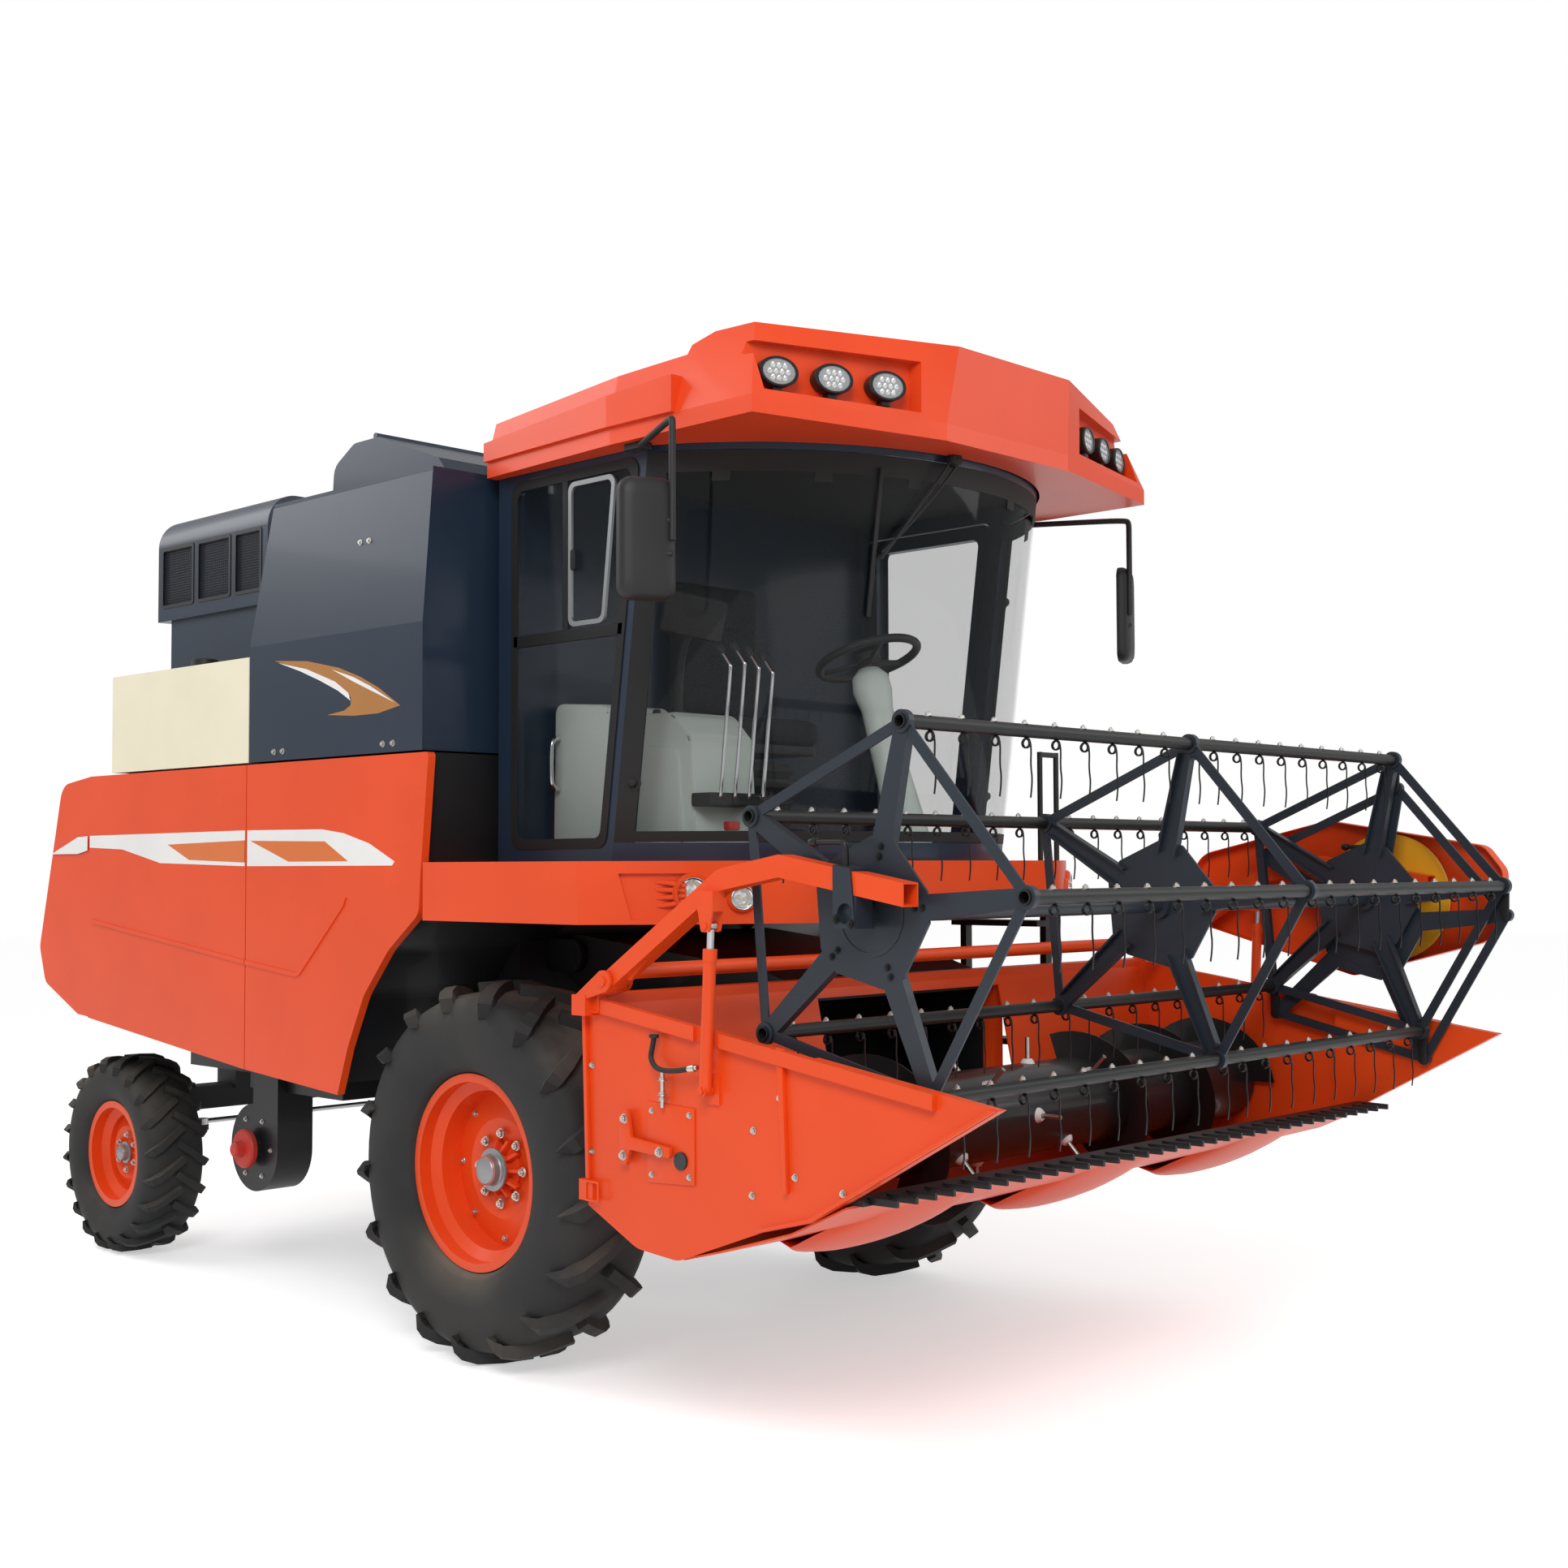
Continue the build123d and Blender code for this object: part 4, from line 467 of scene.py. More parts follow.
def repeated(obj, count, step=(0, 0, 0), turn=(0, 0, 0), material=None):
    """A row or a ring of one piece, in one material."""
    return grown(obj, REPEAT, {"Count": count, "Step": step, "Turn": turn, "Material": material})


def tread_bar(name, rows, radius, side):
    """One bar through rows of (arc, y top, r top, y base, r base, half width)."""
    rings = []
    for index, (arc, y_top, r_top, y_base, r_base, half) in enumerate(rows):
        before, after = rows[max(index - 1, 0)], rows[min(index + 1, len(rows) - 1)]
        way = Vector((after[0] - before[0], after[1] - before[1])).normalized()
        corners = ((-1, y_base, r_base, 1.3), (-1, y_top, r_top, 1), (1, y_top, r_top, 1),
                   (1, y_base, r_base, 1.3))
        ring = []
        for sign, y, r, spread in corners:
            angle = (arc - sign * way.y * half * spread) / radius
            across = y + sign * way.x * half * spread * 0.8
            ring.append((r * math.sin(angle), side * across, r * math.cos(angle)))
        rings.append(ring)
    return loft_rings(name, rings)


def tyre(name, profile, bars, radius, count):
    """Carcass and both rows of bars, centred on the origin."""
    carcass = smooth(lathe(name, profile, 72), 50)
    pieces = [carcass]
    for side in (-1, 1):
        bar = tread_bar(name + "_bar", bars, radius, side)
        turn = math.pi / count * (side > 0)
        bar.data.transform(Matrix.Rotation(turn, 4, "Y"))
        pieces.append(repeated(bar, count, turn=(0, 2 * math.pi / count, 0), material=rubber))
    return merged(name, pieces)


# radius, y
FRONT_PROFILE = ((0.3056, -0.128), (0.331, -0.129), (0.338, -0.150), (0.352, -0.163), (0.40, -0.181),
                 (0.45, -0.1885), (0.50, -0.186), (0.545, -0.176), (0.575, -0.158), (0.590, -0.12),
                 (0.597, -0.05), (0.598, 0))
# arc, y top, r top, y base, r base, half width
FRONT_BARS = ((-0.012, -0.020, 0.6315, -0.020, 0.592, 0.019), (0.045, 0.060, 0.631, 0.060, 0.590, 0.020),
              (0.098, 0.128, 0.626, 0.128, 0.580, 0.023), (0.128, 0.172, 0.607, 0.160, 0.570, 0.026),
              (0.140, 0.186, 0.582, 0.172, 0.552, 0.027), (0.148, 0.187, 0.535, 0.176, 0.530, 0.026))
REAR_PROFILE = ((0.2036, -0.091), (0.229, -0.092), (0.236, -0.105), (0.25, -0.116), (0.28, -0.127),
                (0.31, -0.132), (0.345, -0.129), (0.372, -0.118), (0.390, -0.096), (0.397, -0.05), (0.398, 0))
REAR_BARS = ((-0.008, -0.014, 0.4195, -0.014, 0.392, 0.014), (0.030, 0.040, 0.419, 0.040, 0.391, 0.0145),
             (0.065, 0.088, 0.416, 0.088, 0.386, 0.016), (0.084, 0.120, 0.403, 0.112, 0.378, 0.018),
             (0.092, 0.130, 0.385, 0.120, 0.364, 0.018), (0.096, 0.131, 0.352, 0.122, 0.349, 0.018))
# axle, profile, bars, tip radius, bar count
for axle, half_profile, bars, radius, count in (("front", FRONT_PROFILE, FRONT_BARS, 0.632, 17),
                                               ("rear", REAR_PROFILE, REAR_BARS, 0.420, 20)):
    profile = list(half_profile) + [(r, -y) for r, y in half_profile[-2::-1]]
    profile.append(profile[0])
    for hand in ("right", "left"):
        wheel = f"{axle}_wheel_{hand}"
        shape = tyre(f"{wheel}_tyre", profile, bars, radius, count)
        on_wheel(shape, wheel, rubber, "tyre_rubber", f"{axle}_tyre_{hand}")


# Wheel nuts. Each disc is held by a ring of zinc-plated hexagon nuts on washers, with a stub
# of thread through each: eight on the front wheels and six on the rear ones.

def shape_object(name, shape):
    """An object from a finished bmesh."""
    mesh = bpy.data.meshes.new(name)
    shape.to_mesh(mesh)
    shape.free()
    return linked(name, mesh)


def nut(name, radius, height):
    """A nut on its washer that stands on the origin and faces -Y."""
    shape = bmesh.new()
    # washer, hexagon and thread: start, end, radius, as shares of the nut's own, and sides
    for low, high, r, sides in ((0, 0.18, 1.35, 12), (0.18, 0.85, 1.0, 6), (0.85, 1.25, 0.5, 8)):
        bmesh.ops.create_cone(shape, cap_ends=True, segments=sides, radius1=radius * r,
                              radius2=radius * r * 0.97, depth=height * (high - low),
                              matrix=Matrix.Translation((0, 0, height * (high + low) / 2)))
    bmesh.ops.transform(shape, matrix=Matrix.Rotation(math.radians(90), 4, "X"), verts=shape.verts)
    return shape_object(name, shape)


zinc = finish("zinc_plate", (0.55, 0.54, 0.50), 0.35, dust=0.1, metal=1.0)


def nut_ring(wheel, part, radius, height, circle, face, count):
    """Nuts on one bolt circle of a wheel, from their seat on the disc."""
    piece = nut(f"{wheel}_{part}", radius, height)
    piece.data.transform(Matrix.Translation((0, face, circle)))
    ring = repeated(piece, count, turn=(0, 2 * math.pi / count, 0), material=zinc)
    return on_wheel(ring, wheel, zinc, "bright_steel")


# axle, bolt circle, bolt count, nut radius, disc's face from the tyre's middle
NUT_RINGS = (("front", 0.118, 8, 0.013, -0.016),
             ("rear", 0.075, 6, 0.010, -0.034))
for axle, circle, count, size, face in NUT_RINGS:
    for hand in ("right", "left"):
        nut_ring(f"{axle}_wheel_{hand}", "nuts", size, size * 1.1, circle, face, count)


# The hubs. A grey pressed cap with a flange sits in the middle of each front wheel, between
# the ribs of the orange hub casting; the rear wheels have a plain domed cap.

hub_grey = finish("hub_casting", (0.30, 0.31, 0.32), 0.4, dust=0.15, metal=0.6)


def raised(axis, a, b, level):
    """A place from its two coordinates on an outline and its level along an axis."""
    return {"X": (level, a, b), "Y": (a, level, b), "Z": (a, b, level)}[axis]


def slab(name, rows, low, high, axis="Y", bevel=0.0):
    """A closed outline raised along an axis, with its edges broken."""
    shape = bmesh.new()
    rings = [[shape.verts.new(raised(axis, a, b, level)) for a, b in rows] for level in (low, high)]
    count = len(rows)
    for index in range(count):
        after = (index + 1) % count
        shape.faces.new((rings[0][index], rings[0][after], rings[1][after], rings[1][index]))
    shape.faces.new(rings[0])
    shape.faces.new(rings[1])
    bmesh.ops.recalc_face_normals(shape, faces=shape.faces)
    if bevel:
        bmesh.ops.bevel(shape, geom=shape.edges, offset=bevel, segments=2, profile=0.6, affect="EDGES")
    obj = shape_object(name, shape)
    return smooth(obj, 40) if bevel else obj


# radius, y
FRONT_CAP = ((0, -0.0935), (0.026, -0.0935), (0.043, -0.089), (0.0495, -0.081), (0.051, -0.060),
             (0.0545, -0.056), (0.0715, -0.055), (0.0715, -0.047), (0.050, -0.046), (0, -0.046))
REAR_CAP = ((0, -0.0745), (0.020, -0.0735), (0.031, -0.068), (0.0345, -0.060), (0.035, -0.045),
            (0.046, -0.044), (0.046, -0.038), (0, -0.038))
# axle, cap profile, rib count, rib's inner and outer radius, rib's outer y, outer stud circle, disc's y there
HUBS = (("front", FRONT_CAP, 10, 0.050, 0.098, -0.044, 0.236, 0.003),
        ("rear", REAR_CAP, 6, 0.034, 0.060, -0.036, 0, 0))
for axle, cap_rows, ribs, near, far, crest, circle, face in HUBS:
    for hand in ("right", "left"):
        wheel = f"{axle}_wheel_{hand}"
        cap = smooth(lathe(wheel + "_cap", cap_rows, 48), 30)
        on_wheel(cap, wheel, hub_grey, "cast_metal")
        rib_outline = ((near, crest), (near, 0.004), (far, 0.004), (far, crest + 0.028))
        rib = slab(wheel + "_ribs", rib_outline, -0.006, 0.006, "Z", 0.002)
        ring = repeated(rib, ribs, turn=(0, 2 * math.pi / ribs, 0), material=orange)
        on_wheel(ring, wheel, orange, "orange_paint")
        if circle:
            nut_ring(wheel, "studs", 0.0095, 0.010, circle, face, 8)


# The tined bars. Every tine is sprung steel wire: two turns of coil under the bar, then a
# thin finger with a slight bend. A bolt holds it through the bar.

BAR_START, BAR_END = -1.366, 1.355
TINE_PITCH, TINE_COUNT = 0.138, 19
TINE_SHIFT = 0.030
TINE_R = 0.0026
bar_black = finish("bar_black", (0.010, 0.011, 0.012), 0.42, dust=0.08)
wire_black = finish("wire_black", (0.008, 0.008, 0.009), 0.35, dust=0.05)


def pipe(name, points, radius, sides, steps):
    """A live tube on one smooth line whose control points are given."""
    curve = bpy.data.curves.new(name, "CURVE")
    curve.dimensions = "3D"
    curve.bevel_depth = radius
    curve.bevel_resolution = sides
    curve.use_fill_caps = True
    curve.resolution_u = steps
    line = curve.splines.new("NURBS")
    line.points.add(len(points) - 1)
    for point, place in zip(line.points, points):
        point.co = (*place, 1)
    line.order_u = min(3, len(points))
    line.use_endpoint_u = True
    return linked(name, curve)


def bar(name, points, radius, sides=3):
    """A round bar or pipe that bends smoothly between its points, as a mesh."""
    holder = pipe(name, points, radius, sides, 8)
    mesh = settled(holder)
    bpy.data.objects.remove(holder)
    return smooth(outward(linked(name, mesh)), 50)


def rounded(corners, radius, steps=5):
    """The corners of a closed outline, each turned into an arc."""
    points = []
    for index, corner in enumerate(corners):
        here = Vector(corner)
        back = (Vector(corners[index - 1]) - here).normalized()
        ahead = (Vector(corners[(index + 1) % len(corners)]) - here).normalized()
        half = back.angle(ahead) / 2
        reach = radius / math.tan(half)
        centre = here + (back + ahead).normalized() * radius / math.sin(half)
        first, last = here + back * reach - centre, here + ahead * reach - centre
        for step in range(steps + 1):
            ray = first.lerp(last, step / steps).normalized() * radius
            points.append(tuple(centre + ray))
    return points


def aimed(obj, place, way):
    """Turns a piece that is drawn facing -Y so that it faces another way, at a place."""
    turn = Vector((0, -1, 0)).rotation_difference(Vector(way)).to_matrix().to_4x4()
    obj.data.transform(Matrix.Translation(Vector(place)) @ turn)
    return obj


def copied(obj, name):
    """A second object with a mesh of its own."""
    twin = obj.copy()
    twin.data = obj.data.copy()
    twin.name = name
    bpy.context.scene.collection.objects.link(twin)
    return twin


def tine(name):
    """The wire of one spring tine below a bar whose axis is the origin."""
    coil_r, drop = 0.0135, 0.034
    points = [(0, 0, -0.016)]
    for step in range(20):
        angle = math.radians(90 + 40 * step)
        points.append((-coil_r * math.cos(angle), 0.0006 * step, -drop + coil_r * math.sin(angle)))
    points += [(0.0125, 0.012, -0.050), (0.010, 0.012, -0.095), (0.0165, 0.012, -0.140),
               (0.009, 0.012, -0.184)]
    return bar(name, points, TINE_R, 1)


def tine_row(name, count, first):
    """A run of tines and their bolts along the bar, from the first one's place."""
    bolt = aimed(nut(name + "_bolt", 0.0075, 0.009), (0, 0, 0.0185), (0, 0, 1))
    row = []
    for piece, material in ((tine(name), wire_black), (bolt, zinc)):
        piece.data.transform(Matrix.Translation((0, first, 0)))
        row.append(repeated(piece, count, step=(0, TINE_PITCH, 0), material=material))
    return merged(name, row)


def tined_bar():
    """Tube with open ends, tines, bolts, and the crank with its pin at the left."""
    outer, bore = 0.019, 0.0150
    tube = smooth(lathe("bar_tube", ((outer, BAR_START), (outer, BAR_END), (bore, BAR_END), (bore, BAR_START),
                                     (outer, BAR_START)), 20), 40)
    tube.data.materials.append(bar_black)
    crank_outline = rounded(((-0.018, 0.018), (-0.014, -0.114), (0.014, -0.114), (0.018, 0.018)), 0.010)
    crank = slab("bar_crank", crank_outline, 1.347, 1.355, "Y", 0.001)
    pin = bar("bar_pin", ((0, 1.348, -0.100), (0, 1.379, -0.100)), 0.010)
    for piece in (crank, pin):
        piece.data.materials.append(bar_black)
    half = TINE_COUNT // 2
    middle = -0.0075
    rows = [tine_row("tines_low", half, middle - half * TINE_PITCH),
            tine_row("tines_mid", 1, middle + TINE_SHIFT),
            tine_row("tines_high", half, middle + TINE_PITCH)]
    return merged("tined_bar", [tube, crank, pin] + rows)


model_bar = tined_bar()
for number in range(1, 6):
    piece = copied(model_bar, f"spring_bar_{number}")
    hub = Vector(joints[f"bar_{number}_turn"]["pos_m"])
    piece.data.transform(Matrix.Translation((hub.x, SHIFT.y, hub.z)))
    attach(piece, f"bar_{number}")
    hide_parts(f"tine_bar_{number}")
bpy.data.objects.remove(model_bar)


# The header's auger: a drum with a rolled flight welded on from each end, and in the middle
# the retracting fingers in their pale guides.

AUGER_X, AUGER_Z, DRUM_R, FLIGHT_R = 1.290, 0.812, 0.150, 0.240
DRUM_HALF, STUB_END, STUB_R, FLIGHT_PITCH, FLIGHT_STOP = 1.395, 1.425, 0.025, 0.42, 0.42
flight_black = finish("flight_black", (0.014, 0.016, 0.018), 0.30, dust=0.15, coat=0.2)
finger_white = finish("finger_guide", (0.78, 0.78, 0.76), 0.4, dust=0.1)


def placed(obj, body, material, slot, *replaced):
    """Moves a piece drawn on the drawing into the frame and fits it."""
    obj.data.transform(Matrix.Translation(SHIFT))
    return fitted(obj, body, material, slot, *replaced)


def trim(obj, material, slot="black_plastic", *replaced):
    """Places a piece that stays with the machine's body."""
    return placed(obj, "chassis", material, slot, *replaced)


def flight(name, side):
    """A helical blade from one end of the drum towards the middle."""
    steps = int((DRUM_HALF - FLIGHT_STOP) / FLIGHT_PITCH * 36)
    root = DRUM_R - 0.004
    verts, faces = [], []
    for step in range(steps + 1):
        angle = math.radians(10 * step) * side
        y = side * (DRUM_HALF - 0.012 - FLIGHT_PITCH * step / 36)
        for radius, offset in ((root, -0.002), (FLIGHT_R, -0.0015), (FLIGHT_R, 0.0015), (root, 0.002)):
            verts.append((radius * math.cos(angle), y + offset, radius * math.sin(angle)))
    for step in range(steps):
        for corner in range(4):
            nxt = (corner + 1) % 4
            faces.append((4 * step + corner, 4 * step + nxt, 4 * step + 4 + nxt, 4 * step + 4 + corner))
    faces += [(0, 1, 2, 3), tuple(range(len(verts) - 4, len(verts)))]
    return smooth(outward(mesh_object(name, verts, faces)), 60)


drum = smooth(lathe("auger_drum", ((0, -STUB_END), (STUB_R, -STUB_END), (STUB_R, -DRUM_HALF),
                                   (DRUM_R - 0.004, -DRUM_HALF), (DRUM_R, -DRUM_HALF + 0.004),
                                   (DRUM_R, DRUM_HALF - 0.004), (DRUM_R - 0.004, DRUM_HALF),
                                   (STUB_R, DRUM_HALF), (STUB_R, STUB_END), (0, STUB_END)), 64), 40)
body = merged("auger_body", [drum, flight("flight_left", 1), flight("flight_right", -1)])
body.data.transform(Matrix.Translation((AUGER_X, 0, AUGER_Z)))
placed(body, "auger", flight_black, "dark_paint", "header_auger")
fingers, guides = [], []
for index in range(12):
    y, angle = (index - 5.5) * 0.070, math.radians(135 * index)
    out = Vector((math.sin(angle), 0, math.cos(angle)))
    foot = Vector((AUGER_X, y, AUGER_Z))
    fingers.append(bar(f"finger_{index}", (foot + out * 0.140, foot + out * 0.236), 0.008, 2))
    guide = lathe(f"guide_{index}", ((0.009, -0.164), (0.016, -0.163), (0.021, -0.156), (0.026, -0.147),
                                     (0.009, -0.147), (0.009, -0.164)), 16)
    guides.append(aimed(guide, foot, out))
placed(merged("auger_fingers", fingers), "auger", zinc, "bright_steel")
placed(merged("finger_guides", guides), "auger", finger_white, "cream_paint")


# Stripes on the side panels: a white band that runs from the tail to a drooping tip, with a
# tapering orange wedge in it, and a plain two-tone flash on the tank.

HANDS = (("right", -1), ("left", 1))
SIDE_Y = -1.243
FILM = 0.0006
stripe_white = finish("stripe_white", (0.86, 0.85, 0.83), 0.3, dust=0.05, coat=0.4)
stripe_orange = finish("stripe_orange", (0.72, 0.16, 0.02), 0.3, dust=0.05, coat=0.4)
stripe_gold = finish("stripe_gold", (0.42, 0.17, 0.03), 0.35, dust=0.05, coat=0.4)
MIDDLE_Y = -0.100
# name, body on the right, body on the left, outline in x and z, material, layer
STRIPES = (
    ("band_tail", "chassis", "chassis",
     ((-2.95, 1.690), (-2.700, 1.690), (-2.612, 1.704), (-2.612, 1.765), (-2.70, 1.762)), stripe_white, 1),
    ("band_rear", "door_rr", "door_rl",
     ((-2.590, 1.716), (-2.30, 1.706), (-1.98, 1.648), (-1.330, 1.634), (-1.330, 1.770), (-2.590, 1.766)),
     stripe_white, 1),
    ("band_front", "door_fr", "door_fl",
     ((-1.312, 1.634), (-0.36, 1.634), (-0.345, 1.648), (-0.50, 1.712), (-0.66, 1.750), (-0.80, 1.766),
      (-1.312, 1.770)), stripe_white, 1),
    ("wedge_rear", "door_rr", "door_rl",
     ((-1.92, 1.722), (-1.75, 1.660), (-1.330, 1.648), (-1.330, 1.732)), stripe_orange, 2),
    ("wedge_front", "door_fr", "door_fl",
     ((-1.290, 1.730), (-1.02, 1.650), (-0.63, 1.650), (-0.78, 1.722)), stripe_orange, 2),
    ("flash_body", "chassis", "chassis",
     ((-1.129, 2.402), (-0.905, 2.384), (-0.696, 2.344), (-0.56, 2.302), (-0.449, 2.257), (-0.316, 2.186),
      (-0.449, 2.166), (-0.60, 2.166), (-0.77, 2.178), (-0.660, 2.188), (-0.620, 2.205), (-0.617, 2.232),
      (-0.696, 2.273), (-0.80, 2.311), (-0.905, 2.345), (-1.02, 2.376)), stripe_gold, 1),
    ("flash_edge", "chassis", "chassis",
     ((-0.74, 2.341), (-0.60, 2.303), (-0.50, 2.266), (-0.345, 2.197), (-0.49, 2.248), (-0.60, 2.287)),
     stripe_white, 2),
    ("flash_inner", "chassis", "chassis",
     ((-1.10, 2.392), (-0.905, 2.354), (-0.72, 2.296), (-0.635, 2.250), (-0.622, 2.222), (-0.70, 2.262),
      (-0.82, 2.307), (-0.95, 2.350)), stripe_white, 2),
)
for name, right_body, left_body, rows, material, layer in STRIPES:
    for hand, rider in (("right", right_body), ("left", left_body)):
        film = slab(f"{name}_{hand}", rows, SIDE_Y - FILM * layer, SIDE_Y + FILM)
        if hand == "left":
            film.data.transform(Matrix.Translation((0, 2 * MIDDLE_Y, 0)) @ Matrix.Diagonal((1, -1, 1, 1)))
            film.data.flip_normals()
        placed(film, rider, material, "cream_paint" if material is stripe_white else "orange_paint")


# Small hardware on the body: pairs of zinc-plated bolts on the tank's foot and cheek, and the
# turned red hub of the elevator's lower shaft, with a ring of bolts round its bearing plate.

def bolts(name, body, places, radius, way=(0, -1, 0), material=None):
    """Hexagon heads on washers at several places of one body."""
    heads = []
    for index, place in enumerate(places):
        heads.append(aimed(nut(f"{name}_{index}", radius, radius), place, way))
    return placed(merged(name, heads), body, material or zinc, "bright_steel")


TANK_FEET = ((-1.096, 2.06), (-0.388, 2.057))
tank_spots = [(x + gap, SIDE_Y - 0.0005, z) for x, z in TANK_FEET for gap in (-0.03, 0.03)]
bolts("tank_bolts", "chassis", tank_spots, 0.009)
bolts("cheek_bolts", "chassis", [(-0.600, -1.2190, 2.788), (-0.545, -1.2190, 2.788)], 0.008, (0, -1, 0.076))
red = finish("hub_red", (0.55, 0.03, 0.02), 0.45, dust=0.3)
BOOT_X, BOOT_Z, BOOT_CIRCLE = -1.74, 0.5, 0.125
boot = smooth(lathe("boot_hub", ((0, -1.046), (0.022, -1.046), (0.030, -1.040), (0.034, -1.012),
                                 (0.072, -1.006), (0.078, -0.998), (0.078, -0.9805), (0, -0.9805)), 32), 30)
boot.data.transform(Matrix.Translation((BOOT_X, 0, BOOT_Z)))
trim(boot, red, "orange_paint")
boot_spots = []
for degrees in range(0, 360, 60):
    turn = math.radians(degrees)
    boot_spots.append((BOOT_X + BOOT_CIRCLE * math.cos(turn), -0.9505, BOOT_Z + BOOT_CIRCLE * math.sin(turn)))
bolts("boot_bolts", "chassis", boot_spots, 0.008)


# The intake's screens: woven black steel wire in each window of the hood, held by a pressed
# black frame that is welded round the opening.

SCREEN_Y, SCREEN_LOW_Z, SCREEN_HIGH_Z = -1.000, 2.750, 3.000
MESH_STEP, WIRE_R, FRAME_LAP = 0.011, 0.0013, 0.006


def oblong(left, foot, right, head):
    """The corners of an upright oblong, in order round it."""
    return ((left, foot), (right, foot), (right, head), (left, head))


def inset(corners, depth):
    """The same convex outline with each side moved in, or out for a negative depth."""
    lines = []
    for index, corner in enumerate(corners):
        here, ahead = Vector(corner), Vector(corners[(index + 1) % len(corners)])
        way = (ahead - here).normalized()
        lines.append((here + Vector((-way.y, way.x)) * depth, way))
    points = []
    for index in range(len(corners)):
        (p, d), (q, e) = lines[index - 1], lines[index]
        share = ((q.x - p.x) * e.y - (q.y - p.y) * e.x) / (d.x * e.y - d.y * e.x)
        points.append(tuple(p + d * share))
    return points


def band(name, corners, width, radius, low, high, axis="Y"):
    """A frame of even width round a convex outline that is given anticlockwise."""
    outer = rounded(corners, radius + width * 0.5)
    inner = rounded(inset(corners, width), radius)
    verts = [raised(axis, a, b, level) for level in (low, high) for ring in (outer, inner) for a, b in ring]
    n = len(outer)
    faces = []
    for index in range(n):
        j = (index + 1) % n
        faces += [(index, j, n + j, n + index), (2 * n + index, 2 * n + j, 3 * n + j, 3 * n + index),
                  (index, j, 2 * n + j, 2 * n + index), (n + index, n + j, 3 * n + j, 3 * n + index)]
    return outward(mesh_object(name, verts, faces))


for index, (low_x, high_x) in enumerate(((-2.440, -2.180), (-2.140, -1.880), (-1.840, -1.640))):
    low_z, high_z = SCREEN_LOW_Z, SCREEN_HIGH_Z
    rise = ((low_x, SCREEN_Y + 0.006, low_z), (low_x, SCREEN_Y + 0.006, high_z))
    run = ((low_x, SCREEN_Y + 0.005, low_z), (high_x, SCREEN_Y + 0.005, low_z))
    wire = bar(f"screen_up_{index}", rise, WIRE_R, 0)
    up = repeated(wire, int((high_x - low_x) / MESH_STEP) + 1, step=(MESH_STEP, 0, 0), material=black)
    wire = bar(f"screen_across_{index}", run, WIRE_R, 0)
    across = repeated(wire, int((high_z - low_z) / MESH_STEP) + 1, step=(0, 0, MESH_STEP), material=black)
    trim(merged(f"intake_mesh_{index}", [up, across]), black, "dark_paint")
    corners = oblong(low_x - FRAME_LAP, low_z - FRAME_LAP, high_x + FRAME_LAP, high_z + FRAME_LAP)
    frame_band = band(f"intake_frame_{index}", corners, 0.014, 0.008, SCREEN_Y - 0.003, SCREEN_Y + 0.001)
    trim(frame_band, black, "dark_paint")


# Cab trim: black rubber seals round the panes, a sliding window in a pale alloy frame, the
# windscreen's printed black borders, the knobs that clamp it, and its wiper.

CAB_Y = 0.950
FLOOR_Z, CEILING_Z = 1.645, 3.040
SCREEN_R, SCREEN_BACK, SCREEN_EDGE = 1.0598, 0.4698, 63.6
seal_black = finish("seal_rubber", (0.010, 0.010, 0.011), 0.6, dust=0.05)
frame_grey = finish("slider_frame", (0.30, 0.31, 0.32), 0.4, dust=0.05, metal=0.8)


def pillar_x(z):
    """Front edge of the side wall at a height."""
    return 0.455 + 0.185 * (z - FLOOR_Z) / (CEILING_Z - FLOOR_Z)


def screen_place(degrees_off, z, out=0.0):
    """A place on the windscreen's outer face, or off it by a distance."""
    angle = math.radians(degrees_off)
    reach = SCREEN_R + out
    return Vector((pillar_x(z) - SCREEN_BACK + reach * math.cos(angle), reach * math.sin(angle), z))


def screen_strip(name, start, end, low, high, thick=0.0015):
    """A thin curved strip on the windscreen between two angles and two heights."""
    steps = max(2, int(abs(end - start) / 3))
    section = ((low, 0.0003), (low, thick), (high, thick), (high, 0.0003))
    rings = []
    for step in range(steps + 1):
        angle = start + (end - start) * step / steps
        rings.append([screen_place(angle, z, out) for z, out in section])
    return smooth(loft_rings(name, rings), 40)


for name, start, end, low, high in (("screen_top", -SCREEN_EDGE, SCREEN_EDGE, 2.895, 2.963),
                                    ("screen_foot", -SCREEN_EDGE, SCREEN_EDGE, 1.707, 1.742),
                                    ("screen_right", -SCREEN_EDGE, -59.8, 1.742, 2.895),
                                    ("screen_left", 59.8, SCREEN_EDGE, 1.742, 2.895)):
    trim(screen_strip(name, start, end, low, high), seal_black)
for index, angle in enumerate((-50, -32, -14, 14, 32, 50)):
    tab = screen_strip(f"screen_tab_{index}", angle - 1.6, angle + 1.6, 2.865, 2.896)
    trim(tab, seal_black)

for hand, rider, sign in (("right", "chassis", -1), ("left", "door_cab", 1)):
    inner, outer = 0.0004, 0.004
    near, far = sorted((sign * (CAB_Y + inner), sign * (CAB_Y + outer)))
    if hand == "right":
        low, high, back = 1.700, 2.950, -0.060
        corners = ((back, low), (pillar_x(low) - 0.045, low), (pillar_x(high) - 0.045, high), (back, high))
    else:
        low, high, back = 1.695, 2.950, -0.010
        corners = ((back, low), (pillar_x(low) - 0.095, low), (pillar_x(high) - 0.095, high), (back, high))
    seal = band(f"side_seal_{hand}", inset(corners, -0.012), 0.034, 0.03, near, far)
    placed(seal, rider, seal_black, "black_plastic")
rail_low, rail_high = 2.385, 2.425
low_x, high_x = pillar_x(rail_low) - 0.045, pillar_x(rail_high) - 0.045
